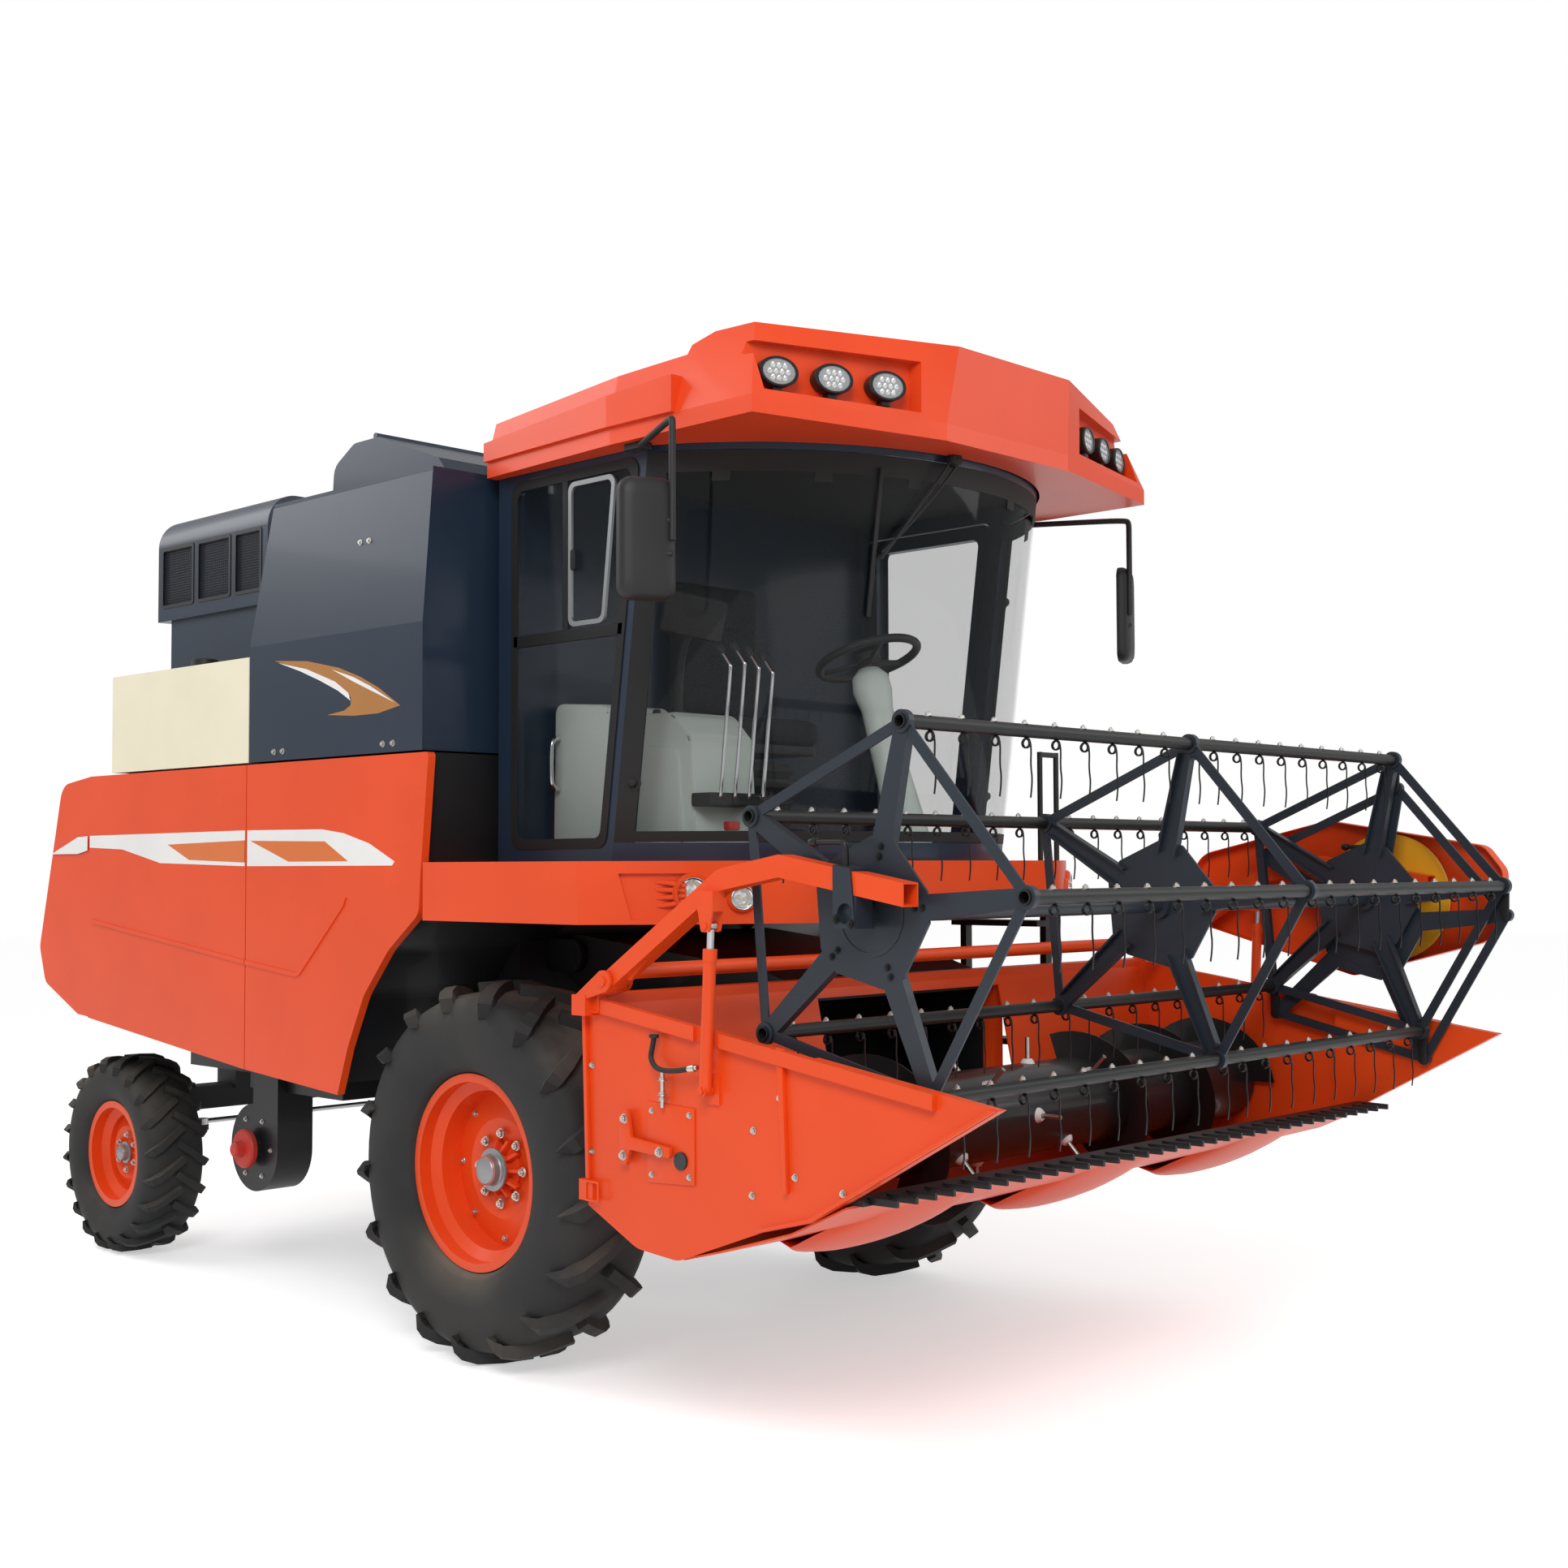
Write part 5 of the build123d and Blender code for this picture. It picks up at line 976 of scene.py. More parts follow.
rail_outline = ((-0.060, rail_low), (low_x, rail_low), (high_x, rail_high), (-0.060, rail_high))
rail = slab("side_rail", rail_outline, -0.954, -0.938, "Y", 0.002)
trim(rail, seal_black)
post = slab("slider_post", oblong(0.205, 2.42, 0.232, 2.93), -0.953, -0.938, "Y", 0.002)
trim(post, seal_black)
slider_outline = ((0.240, 2.432), (0.424, 2.432), (0.482, 2.920), (0.240, 2.920))
slider = band("slider_frame", slider_outline, 0.016, 0.022, -0.9575, -0.9475)
trim(slider, frame_grey, "bright_steel")
latch = slab("slider_latch", rounded(oblong(0.262, 2.62, 0.286, 2.69), 0.008), -0.968, -0.956, "Y", 0.003)
trim(latch, seal_black)
for index, (angle, z) in enumerate(((-60.9, 1.90), (-60.9, 2.66), (60.9, 1.90), (60.9, 2.66))):
    knob = lathe(f"screen_knob_{index}", ((0, -0.018), (0.012, -0.017), (0.016, -0.011), (0.016, -0.002),
                                          (0.028, -0.001), (0.028, 0), (0, 0)), 20)
    out = screen_place(angle, z, 1) - screen_place(angle, z)
    trim(aimed(knob, screen_place(angle, z, 0.001), out), seal_black)

for index, shift in enumerate((0, 1.9)):
    arm = bar(f"wiper_arm_{index}", (screen_place(-8 + shift, 2.975, 0.040),
                                     screen_place(-14 + shift, 2.80, 0.036),
                                     screen_place(-20.6, 2.625 + 0.02 * index, 0.030)), 0.0045, 2)
    trim(arm, seal_black)
blade = bar("wiper_blade", [screen_place(-21.6, 2.44 + 0.12 * k, 0.012) for k in range(5)], 0.008, 2)
trim(blade, seal_black)
hub = lathe("wiper_hub", ((0, -0.03), (0.022, -0.028), (0.026, -0.018), (0.026, 0.0), (0, 0)), 20)
trim(aimed(hub, screen_place(-7.2, 2.972, 0.020), (1, -0.1, 0)), seal_black)


# The work lamps and headlamps: an oval black housing with a clear lens over an array of small
# reflectors, on a short bracket in the roof; the round headlamps have one reflector each.

LAMP_WALL = ((1.113, -1.000), (1.298, -0.430))
LAMP_TILT = math.atan2(0.185, 0.570)
LAMP_Z = CEILING_Z + 0.095
LAMP_R, LAMP_DEPTH = 0.046, 0.040
# x, y, z, radius
HEADLAMPS = ((0.876, 0.985, 1.545, 0.046), (0.962, 0.855, 1.530, 0.036))
HEADLAMP_TURN = math.radians(33.5)
reflector = finish("lamp_reflector", (0.82, 0.83, 0.85), 0.12, dust=0.0, metal=1.0)
led = finish("lamp_chip", (0.86, 0.74, 0.30), 0.3, dust=0.0)
lamp_black = finish("lamp_housing", (0.012, 0.012, 0.013), 0.35, dust=0.05)


CUP_STEP, CUP_RISE = 0.0185, 0.020
cup_places = [(CUP_STEP * (k - 1), CUP_RISE * row) for row in (-1, 1) for k in range(3)]
cup_places += [(CUP_STEP * (k - 1.5), 0) for k in range(4)]


def work_lamp(name):
    """Housing, reflectors and chips of one oval lamp, facing -Y with its back at the origin."""
    housing = lathe(name + "_housing", ((0, -0.001), (0.046, -0.001), (0.049, -0.014), (0.0495, -0.044),
                                        (0.047, -0.0475), (0.0415, -0.0475), (0.0400, -0.030),
                                        (0, -0.030)), 40)
    housing.data.transform(Matrix.Diagonal((1.38, 1, 0.96, 1)))
    housing.data.materials.append(lamp_black)
    cups, chips = [], []
    for x, z in cup_places:
        cup = lathe(name + "_cup", ((0.0085, -0.0425), (0.0092, -0.0425), (0.0045, -0.0315),
                                    (0.0030, -0.0315), (0.0085, -0.0425)), 12)
        chip = lathe(name + "_chip", ((0, -0.0335), (0.0030, -0.0332), (0.0030, -0.0300), (0, -0.0300)), 8)
        for piece in (cup, chip):
            piece.data.transform(Matrix.Translation((1.12 * x, 0, 0.95 * z)))
        cups.append(cup)
        chips.append(chip)
    for pieces, material in ((cups, reflector), (chips, led)):
        for piece in pieces:
            piece.data.materials.append(material)
    return merged(name, [housing] + cups + chips)


def sideways(angle, sign):
    """Straight ahead, turned out to one side by an angle."""
    return Vector((math.cos(angle), sign * math.sin(angle), 0))


def lamp_lens(name, wide, tall):
    """A domed clear lens, stretched to the lamp's oval."""
    glass = lathe(name, ((0, -0.0470), (0.024, -0.0465), (0.041, -0.0445), (0.041, -0.0435),
                         (0, -0.0445)), 32)
    glass.data.transform(Matrix.Diagonal((wide, 1, tall, 1)))
    return glass


lamp_glass = glass_material("lamp_glass", (0.85, 0.88, 0.90), 0.22)
lamp_places = []
for sign in (-1, 1):
    for share in (0.177, 0.5, 0.823):
        x = LAMP_WALL[0][0] + share * (LAMP_WALL[1][0] - LAMP_WALL[0][0])
        y = LAMP_WALL[0][1] + share * (LAMP_WALL[1][1] - LAMP_WALL[0][1])
        way = sideways(LAMP_TILT, sign)
        lamp_places.append((Vector((x, -sign * y, LAMP_Z)), way))
housings, lenses = [], []
for index, (place, way) in enumerate(lamp_places):
    housings.append(aimed(work_lamp(f"work_lamp_{index}"), place, way))
    lenses.append(aimed(lamp_lens(f"work_lens_{index}", 1.38, 0.96), place, way))
    foot = slab(f"lamp_foot_{index}", oblong(-0.016, 0.004, 0.016, -0.036), -0.062, -0.046, "Z", 0.002)
    foot.data.materials.append(lamp_black)
    housings.append(aimed(foot, place, way))
for index, (x, y, z, radius) in enumerate(HEADLAMPS):
    for sign in (-1, 1):
        way = sideways(HEADLAMP_TURN, sign)
        place = Vector((x, sign * y, z)) - way * LAMP_DEPTH
        scale = radius / LAMP_R
        shell = lathe(f"headlamp_{index}", ((0, -0.004), (0.040, -0.004), (0.044, -0.030), (0.0458, -0.0435),
                                            (0.044, -0.0455), (0.039, -0.0445), (0.026, -0.020),
                                            (0, -0.014)), 40)
        shell.data.materials.append(reflector)
        bulb = lathe(f"headlamp_bulb_{index}", ((0, -0.036), (0.006, -0.034), (0.008, -0.022),
                                                (0.008, -0.014), (0, -0.014)), 16)
        bulb.data.materials.append(led)
        rim_ring = lathe(f"headlamp_ring_{index}", ((0.0405, -0.0440), (0.0455, -0.0470), (0.0500, -0.0440),
                                                    (0.0500, -0.0415), (0.0405, -0.0440)), 40)
        rim_ring.data.materials.append(lamp_black if index == 0 else reflector)
        for piece in (shell, bulb, rim_ring):
            piece.data.transform(Matrix.Diagonal((scale, 1, scale, 1)))
            housings.append(aimed(piece, place, way))
        lenses.append(aimed(lamp_lens(f"head_lens_{index}", scale, scale), place, way))
lamp_set = merged("lamp_set", [smooth(piece, 40) for piece in housings])
trim(lamp_set, None, "black_plastic", "lamps")
trim(merged("lamp_lenses", lenses), lamp_glass, "lamp_lens")


# The header's ends: turned flanges, a stiffener, square tube stubs, the adjuster with its
# threaded rod and cross lever, and the bolts. The left end repeats the right one.

END_Y = 1.413
END_BOLTS = ((1.666, 1.015), (1.568, 0.921), (1.721, 0.813), (1.889, 0.790), (1.562, 0.748), (0.905, 0.80),
             (0.905, 1.05))
LEVER_OUTLINE = rounded(((1.050, 0.930), (1.085, 0.940), (1.100, 0.862), (1.262, 0.846), (1.262, 0.818),
                         (1.095, 0.826), (1.080, 0.780), (1.056, 0.784)), 0.006, 3)
SCREW_X, SCREW_OUT = 1.228, 0.020
# name, outline in x and z, inner and outer face outside the end plate, broken edge
END_STRIPS = (
    ("stiffener", ((1.664, 1.150), (1.686, 1.146), (1.702, 0.770), (1.690, 0.768)), 0.0003, 0.016, 0.002),
    ("adjuster_plate", ((1.148, 0.966), (1.341, 0.960), (1.341, 0.749), (1.148, 0.739)),
     0.0003, 0.005, 0.001),
    ("adjuster_lever", LEVER_OUTLINE, 0.012, 0.026, 0.002),
    ("lower_lip",
     ((1.594, 0.655), (1.780, 0.704), (2.386, 1.042), (2.370, 1.045), (1.776, 0.714), (1.592, 0.665)),
     0.0003, 0.014, 0.001),
    ("rear_lip", ((0.872, 1.210), (0.886, 1.210), (0.904, 0.720), (0.890, 0.720)), 0.0003, 0.014, 0.001))
# name, places in x and z, seat outside the end plate, radius
END_BOLT_SETS = (
    ("end_bolts", END_BOLTS, 0.0005, 0.008),
    ("plate_bolts", ((1.168, 0.94), (1.322, 0.94), (1.168, 0.762), (1.322, 0.77)), 0.0052, 0.007),
    ("lever_bolts", ((1.222, 0.832), (1.075, 0.912), (1.070, 0.808)), 0.0262, 0.011))
for hand, sign in HANDS:
    strips = []
    for name, outline, near, far, edge in END_STRIPS:
        low, high = sorted((sign * (END_Y + near), sign * (END_Y + far)))
        strips.append(slab(name, outline, low, high, "Y", edge))
    placed(merged(f"end_fittings_{hand}", strips), "header", orange, "orange_paint")
    for name, places, seat, radius in END_BOLT_SETS:
        bolts(f"{name}_{hand}", "header", [(x, sign * (END_Y + seat), z) for x, z in places],
              radius, (0, sign, 0))
    screw_y = sign * (END_Y + SCREW_OUT)
    screw = bar(f"adjuster_screw_{hand}", ((SCREW_X, screw_y, 0.955), (SCREW_X, screw_y, 1.060)), 0.006, 2)
    placed(screw, "header", zinc, "bright_steel")
    bolts(f"screw_nuts_{hand}", "header", [(SCREW_X, screw_y, z) for z in (0.975, 0.990, 1.030)],
          0.011, (0, 0, 1))


# The reel's clamps and spiders: bolts through the straps and the pressed rings, and a cranked
# locking handle of round bar on top of each arm.

for hand, y in (("right", -1.414), ("left", 1.462)):
    handle = bar(f"clamp_handle_{hand}", ((1.905, y, 1.622), (1.905, y, 1.672), (1.900, y, 1.688),
                                          (1.880, y, 1.690), (1.812, y, 1.690), (1.800, y, 1.690)), 0.008, 2)
    placed(handle, "reel_carrier", bar_black, "dark_paint")
    knob = lathe(f"clamp_knob_{hand}", ((0, -0.014), (0.010, -0.012), (0.014, 0), (0.010, 0.012),
                                        (0, 0.014)), 16)
    placed(smooth(aimed(knob, (1.792, y, 1.690), (-1, 0, 0)), 60), "reel_carrier", bar_black, "dark_paint")
    sign = -1 if y < 0 else 1
    strap_spots = [(x, y + sign * 0.0366, z) for x, z in ((1.904, 1.492), (1.955, 1.480))]
    bolts(f"clamp_bolts_{hand}", "reel_carrier", strap_spots, 0.010, (0, sign, 0), bar_black)
REEL_X, REEL_Z = 1.933, 1.506
spokes = []
for y, sign in ((-1.350, -1), (0, 1), (1.335, 1)):
    for index in range(5):
        angle = math.radians(77.1 - 72 * index)
        for radius in (0.150, 0.176):
            spokes.append((REEL_X + radius * math.cos(angle), y + sign * 0.0042,
                           REEL_Z + radius * math.sin(angle), sign))
for hand, sign in HANDS:
    side_spots = [row[:3] for row in spokes if row[3] == sign]
    bolts(f"spoke_bolts_{hand}", "reel", side_spots, 0.008, (0, sign, 0), bar_black)


# The driver's place: a pale moulded desk with a step in its top, a tilted column with its
# wheel, four cranked chrome levers in a gate, a wash bottle and a bracket for a small screen.

column_pale = finish("column_plastic", (0.66, 0.75, 0.70), 0.42, dust=0.0, grain=600, bump=0.08)
chrome = finish("lever_chrome", (0.80, 0.81, 0.83), 0.10, dust=0.0, metal=1.0)
bottle_white = finish("bottle_white", (0.78, 0.80, 0.78), 0.35, dust=0.0)
lining_black = finish("lining_black", (0.016, 0.016, 0.017), 0.8, dust=0.0, grain=900, bump=0.3)
mat_rubber = finish("floor_mat", (0.020, 0.021, 0.022), 0.7, dust=0.3, grain=260, bump=0.4)
COLUMN_Y, STEER_R, RIM_R = 0.060, 0.180, 0.0155
rear_outline = ((-0.080, 1.650), (0.235, 1.650), (0.215, 2.185), (-0.070, 2.205))
desk_rear = slab("desk_rear", rounded(rear_outline, 0.035), -0.760, -0.470, "Y", 0.012)
front_outline = ((0.240, 1.650), (0.615, 1.650), (0.585, 2.060), (0.500, 2.145), (0.225, 2.150))
desk_front = slab("desk_front", rounded(front_outline, 0.040), -0.715, -0.425, "Y", 0.014)
side_outline = ((0.330, 1.700), (0.560, 1.700), (0.530, 2.020), (0.350, 2.040))
desk_side = slab("desk_side", rounded(side_outline, 0.03), -0.728, -0.712, "Y", 0.005)
foot = slab("column_foot", rounded(oblong(0.800, -0.020, 0.960, 0.140), 0.03), 1.647, 1.705, "Z", 0.01)
# middle in x and z, half lengths along and across
rows = [((0.885, 1.690), 0.066, 0.080), ((0.800, 1.950), 0.056, 0.066), ((0.728, 2.180), 0.052, 0.060),
        ((0.706, 2.250), 0.064, 0.076), ((0.694, 2.300), 0.060, 0.070), ((0.686, 2.330), 0.034, 0.040)]
rings = []
for (x, z), along, across in rows:
    ring = []
    for k in range(24):
        a = 2 * math.pi * k / 24
        ring.append(Vector((x + along * math.cos(a), COLUMN_Y + across * math.sin(a),
                            z + 0.25 * along * math.cos(a))))
    rings.append(ring)
column = smooth(loft_rings("column", rings), 45)
desk = merged("driver_desk", [desk_rear, desk_front, desk_side, foot, column])
trim(desk, column_pale, "console_plastic", "controls")
rim_rows = []
for k in range(48):
    a = 2 * math.pi * k / 48
    ring = []
    for j in range(12):
        b = 2 * math.pi * j / 12
        reach = STEER_R + RIM_R * math.cos(b)
        ring.append(Vector((reach * math.cos(a), reach * math.sin(a), RIM_R * math.sin(b))))
    rim_rows.append(ring)
rim_rows.append(rim_rows[0])
steer = [smooth(loft_rings("steer_rim", rim_rows, closed_ends=False), 60)]
for k in range(3):
    a = math.radians(90 + 120 * k)
    steer.append(bar(f"steer_spoke_{k}", ((0, 0, -0.012), (0.09 * math.cos(a), 0.09 * math.sin(a), -0.008),
                                          (0.178 * math.cos(a), 0.178 * math.sin(a), 0)), 0.009, 3))
cap = lathe("steer_cap", ((0, -0.022), (0.030, -0.020), (0.042, -0.010), (0.044, 0.012), (0, 0.020)), 24)
cap.data.transform(Matrix.Rotation(math.radians(-90), 4, "X"))
steer.append(smooth(cap, 40))
stick = merged("steering_wheel", steer)
tilt = Matrix.Rotation(-math.atan(0.35), 4, "Y")
stick.data.transform(Matrix.Translation((0.686, COLUMN_Y, 2.3676)) @ tilt)
trim(stick, plastic)
for index in range(4):
    y = -0.690 + 0.062 * index
    low_z, high_z, x = 1.855, 2.300 - 0.012 * abs(index - 1), 0.700 + 0.004 * index
    rod = bar(f"chrome_lever_{index}", ((x - 0.055, y, low_z), (x - 0.004, y, low_z - 0.002),
                                        (x, y, low_z + 0.012), (x + 0.030, y, 2.14),
                                        (x + 0.046, y, high_z - 0.012), (x + 0.045, y, high_z),
                                        (x + 0.010, y, high_z + 0.040)), 0.0065, 3)
    trim(rod, chrome, "bright_steel")
    grip = lathe(f"lever_grip_{index}", ((0, -0.030), (0.010, -0.027), (0.0125, -0.010), (0.009, 0.012),
                                         (0, 0.016)), 16)
    trim(smooth(aimed(grip, (x + 0.004, y, high_z + 0.046), (-0.6, 0, 0.8)), 60), plastic)
gate = slab("lever_gate", rounded(oblong(0.600, 1.825, 0.690, 1.870), 0.008), -0.730, -0.470, "Y", 0.004)
trim(gate, plastic)
bottle = smooth(lathe("wash_bottle", ((0, -0.100), (0.020, -0.100), (0.024, -0.092), (0.026, -0.078),
                                      (0.046, -0.064), (0.062, -0.052), (0.064, -0.004), (0.060, 0),
                                      (0, 0)), 28), 35)
upright = Matrix.Translation((0.700, -0.640, 1.648)) @ Matrix.Rotation(math.radians(-90), 4, "X")
bottle.data.transform(upright)
trim(bottle, bottle_white, "cream_paint")
cap = smooth(lathe("bottle_cap", ((0, -0.128), (0.024, -0.127), (0.027, -0.122), (0.027, -0.099),
                                  (0, -0.099)), 20), 35)
cap.data.transform(upright)
trim(cap, red, "orange_paint")
screen_arm = bar("screen_arm", ((0.40, -0.60, 2.140), (0.40, -0.60, 2.28), (0.43, -0.60, 2.40),
                                (0.47, -0.60, 2.46)), 0.014, 3)
trim(screen_arm, plastic)
screen_outline = rounded(oblong(-0.110, -0.070, 0.110, 0.070), 0.012)
screen_box = slab("screen_box", screen_outline, -0.014, 0.014, "Y", 0.004)
trim(aimed(screen_box, (0.475, -0.600, 2.480), (-0.85, 0.45, 0.10)), plastic)
for index, (x, z) in enumerate(((0.33, 2.150), (0.30, 2.150))):
    knob = smooth(lathe(f"desk_knob_{index}", ((0, -0.022), (0.012, -0.020), (0.015, -0.012), (0.015, 0),
                                               (0, 0)), 16), 35)
    trim(aimed(knob, (x, -0.520 - 0.09 * index, z), (0, 0, 1)), plastic)
grab = bar("grab_handle", ((-0.035, -0.775, 1.90), (-0.035, -0.800, 1.905), (-0.035, -0.805, 1.95),
                           (-0.035, -0.805, 2.03), (-0.035, -0.800, 2.075), (-0.035, -0.775, 2.08)), 0.009, 3)
trim(grab, chrome, "bright_steel")


# The cab's lining and floor: a dark felt headliner glued under the roof, and a moulded rubber
# mat, both cut to the cab's plan with its bowed front.

def cab_plan(back, half, z, gap):
    """The cab's plan at a height: a straight back and the windscreen's bow, a gap inside it."""
    return [(back, -half), (back, half)] + [tuple(screen_place(a, z, -gap).xy) for a in range(60, -61, -6)]


headliner = slab("headliner", cab_plan(-0.055, 0.900, 3.02, 0.050), 3.026, 3.0395, "Z")
trim(headliner, lining_black, "seat_fabric")
floor_mat = slab("floor_mat", cab_plan(-0.052, 0.895, 1.650, 0.045), 1.6454, 1.6488, "Z")
trim(floor_mat, mat_rubber)


# The driver's seat: two foam pads in black cloth with sewn channels, on a steel pan and a
# suspension box with folded bellows.

FOAM_VOXEL, COVER_PRESSURE, COVER_STEPS = 0.008, 4, 20
GROOVE_WIDTH, GROOVE_DEPTH = 0.007, 0.009


def pad(name, low, high, grooves, face, swell):
    """A stuffed pad: a rounded block blown up under its cover, then pinched along its seams."""
    shape = bmesh.new()
    middle = [(a + b) / 2 for a, b in zip(low, high)]
    size = [b - a for a, b in zip(low, high)]
    bmesh.ops.create_cube(shape, size=1, matrix=Matrix.Translation(middle) @ Matrix.Diagonal((*size, 1)))
    bmesh.ops.bevel(shape, geom=shape.edges, offset=min(size) * 0.38, segments=4, profile=0.5, affect="EDGES")
    obj = shape_object(name, shape)
    remesh = obj.modifiers.new("fine", "REMESH")
    remesh.mode = "VOXEL"
    remesh.voxel_size = FOAM_VOXEL
    obj.data = settled(obj)
    obj.modifiers.remove(remesh)
    start = [v.co.copy() for v in obj.data.vertices]
    cloth = obj.modifiers.new("blow", "CLOTH")
    cloth.settings.use_pressure = True
    cloth.settings.uniform_pressure_force = COVER_PRESSURE
    cloth.settings.effector_weights.gravity = 0
    for step in range(1, COVER_STEPS + 1):
        bpy.context.scene.frame_set(step)
    obj.data = settled(obj)
    obj.modifiers.remove(cloth)
    for vertex, before in zip(obj.data.vertices, start):
        move = vertex.co - before
        if move.length > swell:
            vertex.co = before + move.normalized() * swell
    bpy.context.scene.frame_set(1)
    across, out, way = face
    for vertex in obj.data.vertices:
        turned = vertex.normal[out] * way
        if turned > 0.2:
            sink = sum(math.exp(-((vertex.co[across] - line) / GROOVE_WIDTH) ** 2) for line in grooves)
            vertex.co[out] -= way * GROOVE_DEPTH * sink * turned
    finer = obj.modifiers.new("round", "SUBSURF")
    finer.levels = finer.render_levels = 1
    obj.data = settled(obj)
    obj.modifiers.remove(finer)
    return smooth(obj, 80)


seat_pad = pad("seat_cushion", (-0.040, -0.228, 2.076), (0.318, 0.228, 2.166), (-0.13, 0.13),
               (1, 2, 1), 0.010)
trim(seat_pad, fabric, "seat_fabric", "seat")
back_pad = pad("back_cushion", (-0.086, -0.218, 2.190), (-0.014, 0.218, 2.706), (2.30, 2.42, 2.54),
               (2, 0, 1), 0.010)
trim(back_pad, fabric, "seat_fabric", "seat")
folds = [(0.118 + 0.018 * (k % 2), -0.060 - 0.030 * k) for k in range(11)]
bellows = lathe("seat_bellows", [(0, folds[-1][1])] + folds[::-1] + [(0, folds[0][1])], 4)
upright = Matrix.Rotation(math.radians(45), 4, "Z") @ Matrix.Rotation(math.radians(-90), 4, "X")
widened = Matrix.Diagonal((1.25, 1.25, 1, 1))
bellows.data.transform(Matrix.Translation((0.140, 0, 1.650)) @ widened @ upright)
base_plate = slab("seat_base", rounded(oblong(0.020, -0.150, 0.260, 0.150), 0.02), 1.6475, 1.712, "Z", 0.006)
pan = slab("seat_pan", rounded(oblong(-0.050, -0.215, 0.300, 0.215), 0.04), 2.040, 2.074, "Z", 0.008)
brace = slab("back_brace", ((-0.090, 2.045), (-0.030, 2.045), (-0.060, 2.260), (-0.092, 2.260)), -0.120,
             0.120, "Y", 0.005)
trim(merged("seat_frame", [bellows, base_plate, pan, brace]), plastic, "black_plastic", "seat")


# The mirrors: domed plastic shells with a silvered glass, on black tube arms that are clamped
# under the roof's edge.

silver = finish("mirror_silver", (0.75, 0.77, 0.80), 0.03, dust=0.0, metal=1.0)
MIRROR_TURN = math.radians(25.5)
# Z of the arm's top run, X of its elbow, Y of the elbow
top_z, elbow_x, elbow_y = 2.9714, 1.030, 1.210
# distance behind the shell's rim plane, share of the outline there
SHELL_ROWS = ((0.024, 0.965), (0.025, 0.985), (0.021, 1.0), (0.004, 1.0), (-0.012, 0.93), (-0.021, 0.78),
              (-0.0248, 0.52))
arms, glasses = [], []
for sign in (-1, 1):
    arm_line = ((0.640, sign * 1.000, top_z), (0.90, sign * 1.140, top_z),
                (1.020, sign * 1.204, top_z - 0.002), (elbow_x, sign * elbow_y, top_z - 0.012),
                (elbow_x, sign * elbow_y, top_z - 0.060), (elbow_x, sign * elbow_y, 2.600))
    arms.append(bar(f"mirror_arm_{sign}", arm_line, 0.011, 4))
    foot_outline = oblong(0.600, sign * 1.0 - 0.025, 0.680, sign * 1.0 + 0.025)
    arms.append(slab(f"mirror_foot_{sign}", foot_outline, 2.9634, 2.9850, "Z", 0.003))
    for z in (2.66, 2.56):
        clip_ends = ((elbow_x, sign * elbow_y, z), (elbow_x - 0.030, sign * 1.232, z))
        arms.append(bar(f"mirror_clip_{sign}", clip_ends, 0.008, 3))
    face = Vector((-math.cos(MIRROR_TURN), -sign * math.sin(MIRROR_TURN), 0))
    rings = []
    outline = rounded(oblong(-0.090, -0.185, 0.090, 0.185), 0.042, 6)
    for depth, share in SHELL_ROWS:
        rings.append([Vector((a * share, -depth, b * (1 - (1 - share) * 0.5))) for a, b in outline])
    shell = smooth(loft_rings(f"mirror_shell_{sign}", rings), 50)
    place = (0.978, sign * 1.264, 2.605)
    arms.append(aimed(shell, place, face))
    pane = slab(f"mirror_pane_{sign}", rounded(oblong(-0.082, -0.177, 0.082, 0.177), 0.036, 6),
                -0.0268, -0.0245)
    glasses.append(aimed(pane, place, face))
trim(merged("mirror_shells", arms), plastic, "black_plastic", "mirrors")
trim(merged("mirror_glasses", glasses), silver, "bright_steel")


# The front panel's trim: four round orange fins welded beside each large headlamp, and a
# turned orange bezel with a chromed ring inside it round each of the four lamps.

fins, rings = [], []
for sign in (-1, 1):
    start, end = Vector((0.6335, sign * 1.143, 0)), Vector((0.860, sign * 1.010, 0))
    along = (end - start).normalized()
    outside = Vector((-along.y, along.x, 0)) * (1 if sign > 0 else -1)
    if outside.dot(Vector((1, sign, 0))) < 0:
        outside = -outside
    for k, z in enumerate((1.582, 1.556, 1.530, 1.504)):
        first = start + along * (0.128 + 0.008 * k) - outside * 0.006
        last = start + along * 0.275 + outside * 0.010
        level = Vector((0, 0, z))
        bend = first.lerp(last, 0.5) + outside * 0.006 + level
        tip = last + Vector((0, 0, z * 0.6 + 1.545 * 0.4))
        fins.append(bar(f"fin_{k}", (first + level, bend, tip), 0.0085, 3))
    for x, y, z, radius in HEADLAMPS:
        way = sideways(HEADLAMP_TURN, sign)
        for inner, out_r, reach, target in ((1.06, 1.36, 0.016, fins), (1.00, 1.10, 0.022, rings)):
            profile = ((radius * inner, 0.010), (radius * inner, -reach + 0.004),
                       (radius * (inner + out_r) / 2, -reach), (radius * out_r, -reach * 0.4),
                       (radius * out_r, 0.010), (radius * inner, 0.010))
            target.append(aimed(smooth(lathe("lamp_bezel", profile, 40), 50), (x, sign * y, z), way))
trim(merged("front_fins", fins), orange, "orange_paint")
trim(merged("lamp_rings", rings), chrome, "bright_steel")


# The hydraulic hose of the reel lift: black rubber with a crimped zinc fitting, which comes
# through a grommet in the end plate's rail and goes into the cylinder. The left end is alike.

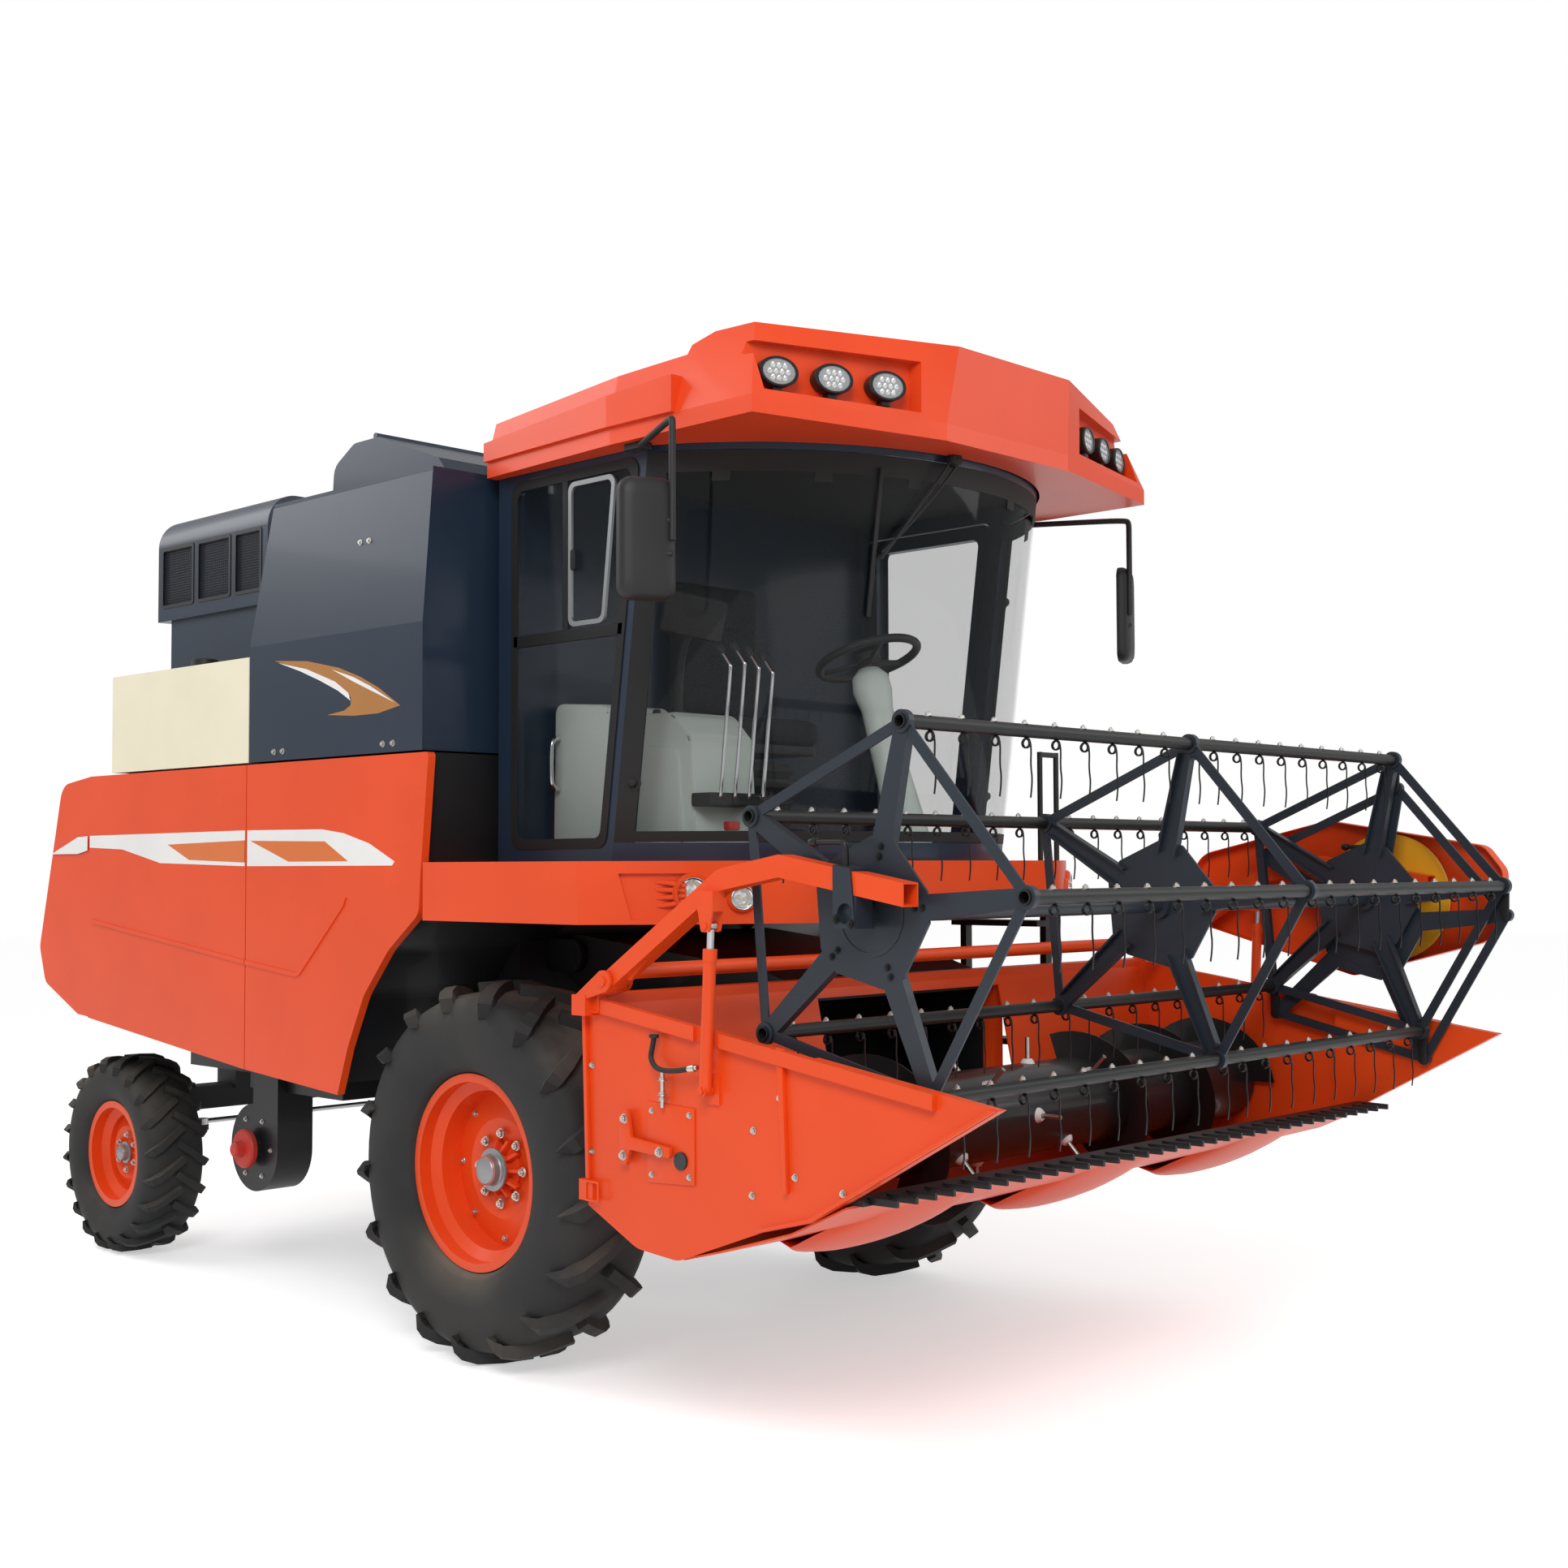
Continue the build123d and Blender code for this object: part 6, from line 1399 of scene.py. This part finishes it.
hose_rubber = finish("hose_rubber", (0.014, 0.014, 0.015), 0.6, dust=0.15, grain=900, bump=0.3)
HOSE_ROUTE = ((1.196, 1.436, 1.147), (1.190, 1.437, 1.118), (1.185, 1.440, 1.090), (1.212, 1.444, 1.064),
              (1.262, 1.448, 1.060), (1.322, 1.451, 1.066), (1.372, 1.453, 1.076))
HOSE_LENGTH, HOSE_DIAMETER = 0.253, 0.015
for hand, sign in HANDS:
    route = [tuple(at(x, sign * y, z)) for x, y, z in HOSE_ROUTE]
    hose = pipe(f"lift_hose_{hand}", route, HOSE_DIAMETER / 2, 4, 12)
    hose.data.materials.append(hose_rubber)
    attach(hose, "header")
    ring = lathe(f"hose_grommet_{hand}", ((0.0076, -0.004), (0.013, -0.005), (0.015, 0), (0.013, 0.005),
                                          (0.0076, 0.004), (0.0076, -0.004)), 20)
    placed(smooth(aimed(ring, (1.196, sign * 1.436, 1.152), (0, 0, 1)), 50), "header", plastic,
           "black_plastic")
    x, y, z = HOSE_ROUTE[-1]
    end = Vector((x, sign * y, z))
    ferrule = lathe(f"hose_ferrule_{hand}", ((0, -0.019), (0.007, -0.019), (0.007, -0.010), (0.0105, -0.009),
                                             (0.0105, 0.012), (0.0095, 0.016), (0, 0.016)), 12)
    placed(smooth(aimed(ferrule, end, (1, 0, 0.18)), 40), "header", zinc, "bright_steel")


# Skid shoes under the cutter bar: three bowls pressed from steel sheet and painted orange,
# welded under the pan, that carry the header over the ground.

SKID_START, SKID_LENGTH, SKID_DEPTH = 1.330, 0.520, 0.052
PAN_LOW_Z, PAN_LIP_Z = 0.548, 0.742
skids = []
for y in (-0.92, 0.0, 0.92):
    rings = []
    for k in range(13):
        share = k / 12
        x = SKID_START + SKID_LENGTH * share
        drop = SKID_DEPTH * math.sin(math.pi * share) ** 0.8
        base_z = PAN_LOW_Z + (PAN_LIP_Z - PAN_LOW_Z) * max(0.0, (share - 0.18) / 0.82)
        half = 0.150 + 0.090 * math.sin(math.pi * share)
        ring = []
        for j in range(13):
            a = math.pi * j / 12
            ring.append(Vector((x, y - half * math.cos(a), base_z - drop * math.sin(a))))
        for j in range(11, 0, -1):
            a = math.pi * j / 12
            ring.append(Vector((x, y - half * math.cos(a) * 0.98, base_z + 0.004)))
        rings.append(ring)
    skids.append(smooth(loft_rings(f"skid_{y}", rings), 50))
placed(merged("skid_shoes", skids), "header", orange, "orange_paint")


# The rear ends of the header's two beams: sawn square steel tubes that stay open, painted
# orange with the rest of the header.

BEAM_X, BEAM_HALF, BEAM_WALL = 0.929, 0.030, 0.006
ends = []
for sign in (-1, 1):
    for z in (1.234, 0.690):
        low, high = sorted((sign * 1.4335, sign * 1.4375))
        square = oblong(BEAM_X - BEAM_HALF, z - BEAM_HALF, BEAM_X + BEAM_HALF, z + BEAM_HALF)
        ends.append(band("beam_end", square, BEAM_WALL, 0.003, low, high))
placed(merged("beam_ends", ends), "header", orange, "orange_paint")


# The back of the machine: pressed louvres in the engine's cover, a lamp cluster at each corner
# of the tail hood with a pull handle between them, and the fuel box's filler cap.

low, high = (Vector(corner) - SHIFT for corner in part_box("engine_block"))
LOUVRE_STEP = 0.045
count = int((high.z - low.z - 0.16) / LOUVRE_STEP)


def louvre(wall, out):
    """The section of one louvre on a wall that faces along out, -1 or 1."""
    top = high.z - 0.080
    return ((wall - out * 0.002, top), (wall + out * 0.020, top - 0.016), (wall + out * 0.018, top - 0.021),
            (wall - out * 0.002, top - 0.010))


rear_slat = slab("louvre_rear", louvre(low.x, -1), low.y + 0.060, high.y - 0.060)
side_slat = slab("louvre_side", louvre(high.y, 1), low.x + 0.060, high.x - 0.060, "X")
slats = [repeated(slat, count, step=(0, 0, -LOUVRE_STEP), material=black) for slat in (rear_slat, side_slat)]
trim(merged("engine_louvres", slats), black, "dark_paint")

lamp_red = finish("lamp_red", (0.45, 0.010, 0.008), 0.15, dust=0.05)
lamp_amber = finish("lamp_amber", (0.75, 0.22, 0.01), 0.15, dust=0.05)


def on_tail(y, z):
    """Where the tail hood's back lies at a height, and which way it faces."""
    _, place, way, _ = nodes["tail_hood"].ray_cast(at(-4, y, z), (1, 0, 0))
    return place - SHIFT, way


housings = []
for index, y in enumerate((-1.14, 0.94)):
    spot, way = on_tail(y, 1.36)
    housing = slab(f"tail_housing_{index}", rounded(oblong(-0.052, -0.115, 0.052, 0.115), 0.018),
                   -0.022, 0.006, "Y", 0.004)
    housings.append(aimed(housing, spot, way))
    for kind, material, near, far in (("red", lamp_red, -0.100, 0.018), ("amber", lamp_amber, 0.024, 0.100)):
        lens = slab(f"tail_{kind}_{index}", rounded(oblong(-0.040, near, 0.040, far), 0.012), -0.032,
                    -0.018, "Y", 0.004)
        trim(aimed(lens, spot, way), material, "lamp_lens")
trim(merged("tail_housings", housings), plastic)
spot, way = on_tail(-0.10, 1.40)
handle = bar("tail_handle", ((-0.090, 0.004, 0), (-0.090, -0.034, 0), (-0.080, -0.042, 0), (0, -0.042, 0),
                             (0.080, -0.042, 0), (0.090, -0.034, 0), (0.090, 0.004, 0)), 0.0075, 3)
trim(aimed(handle, spot, way), plastic)
low, high = (Vector(corner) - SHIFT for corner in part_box("side_box"))
filler = smooth(lathe("filler_cap", ((0, -0.046), (0.040, -0.045), (0.052, -0.040), (0.054, -0.016),
                                     (0.046, -0.014), (0.046, 0.001), (0, 0.001)), 24), 35)
trim(aimed(filler, ((low.x + high.x) / 2, (low.y + high.y) / 2, high.z), (0, 0, 1)), plastic)
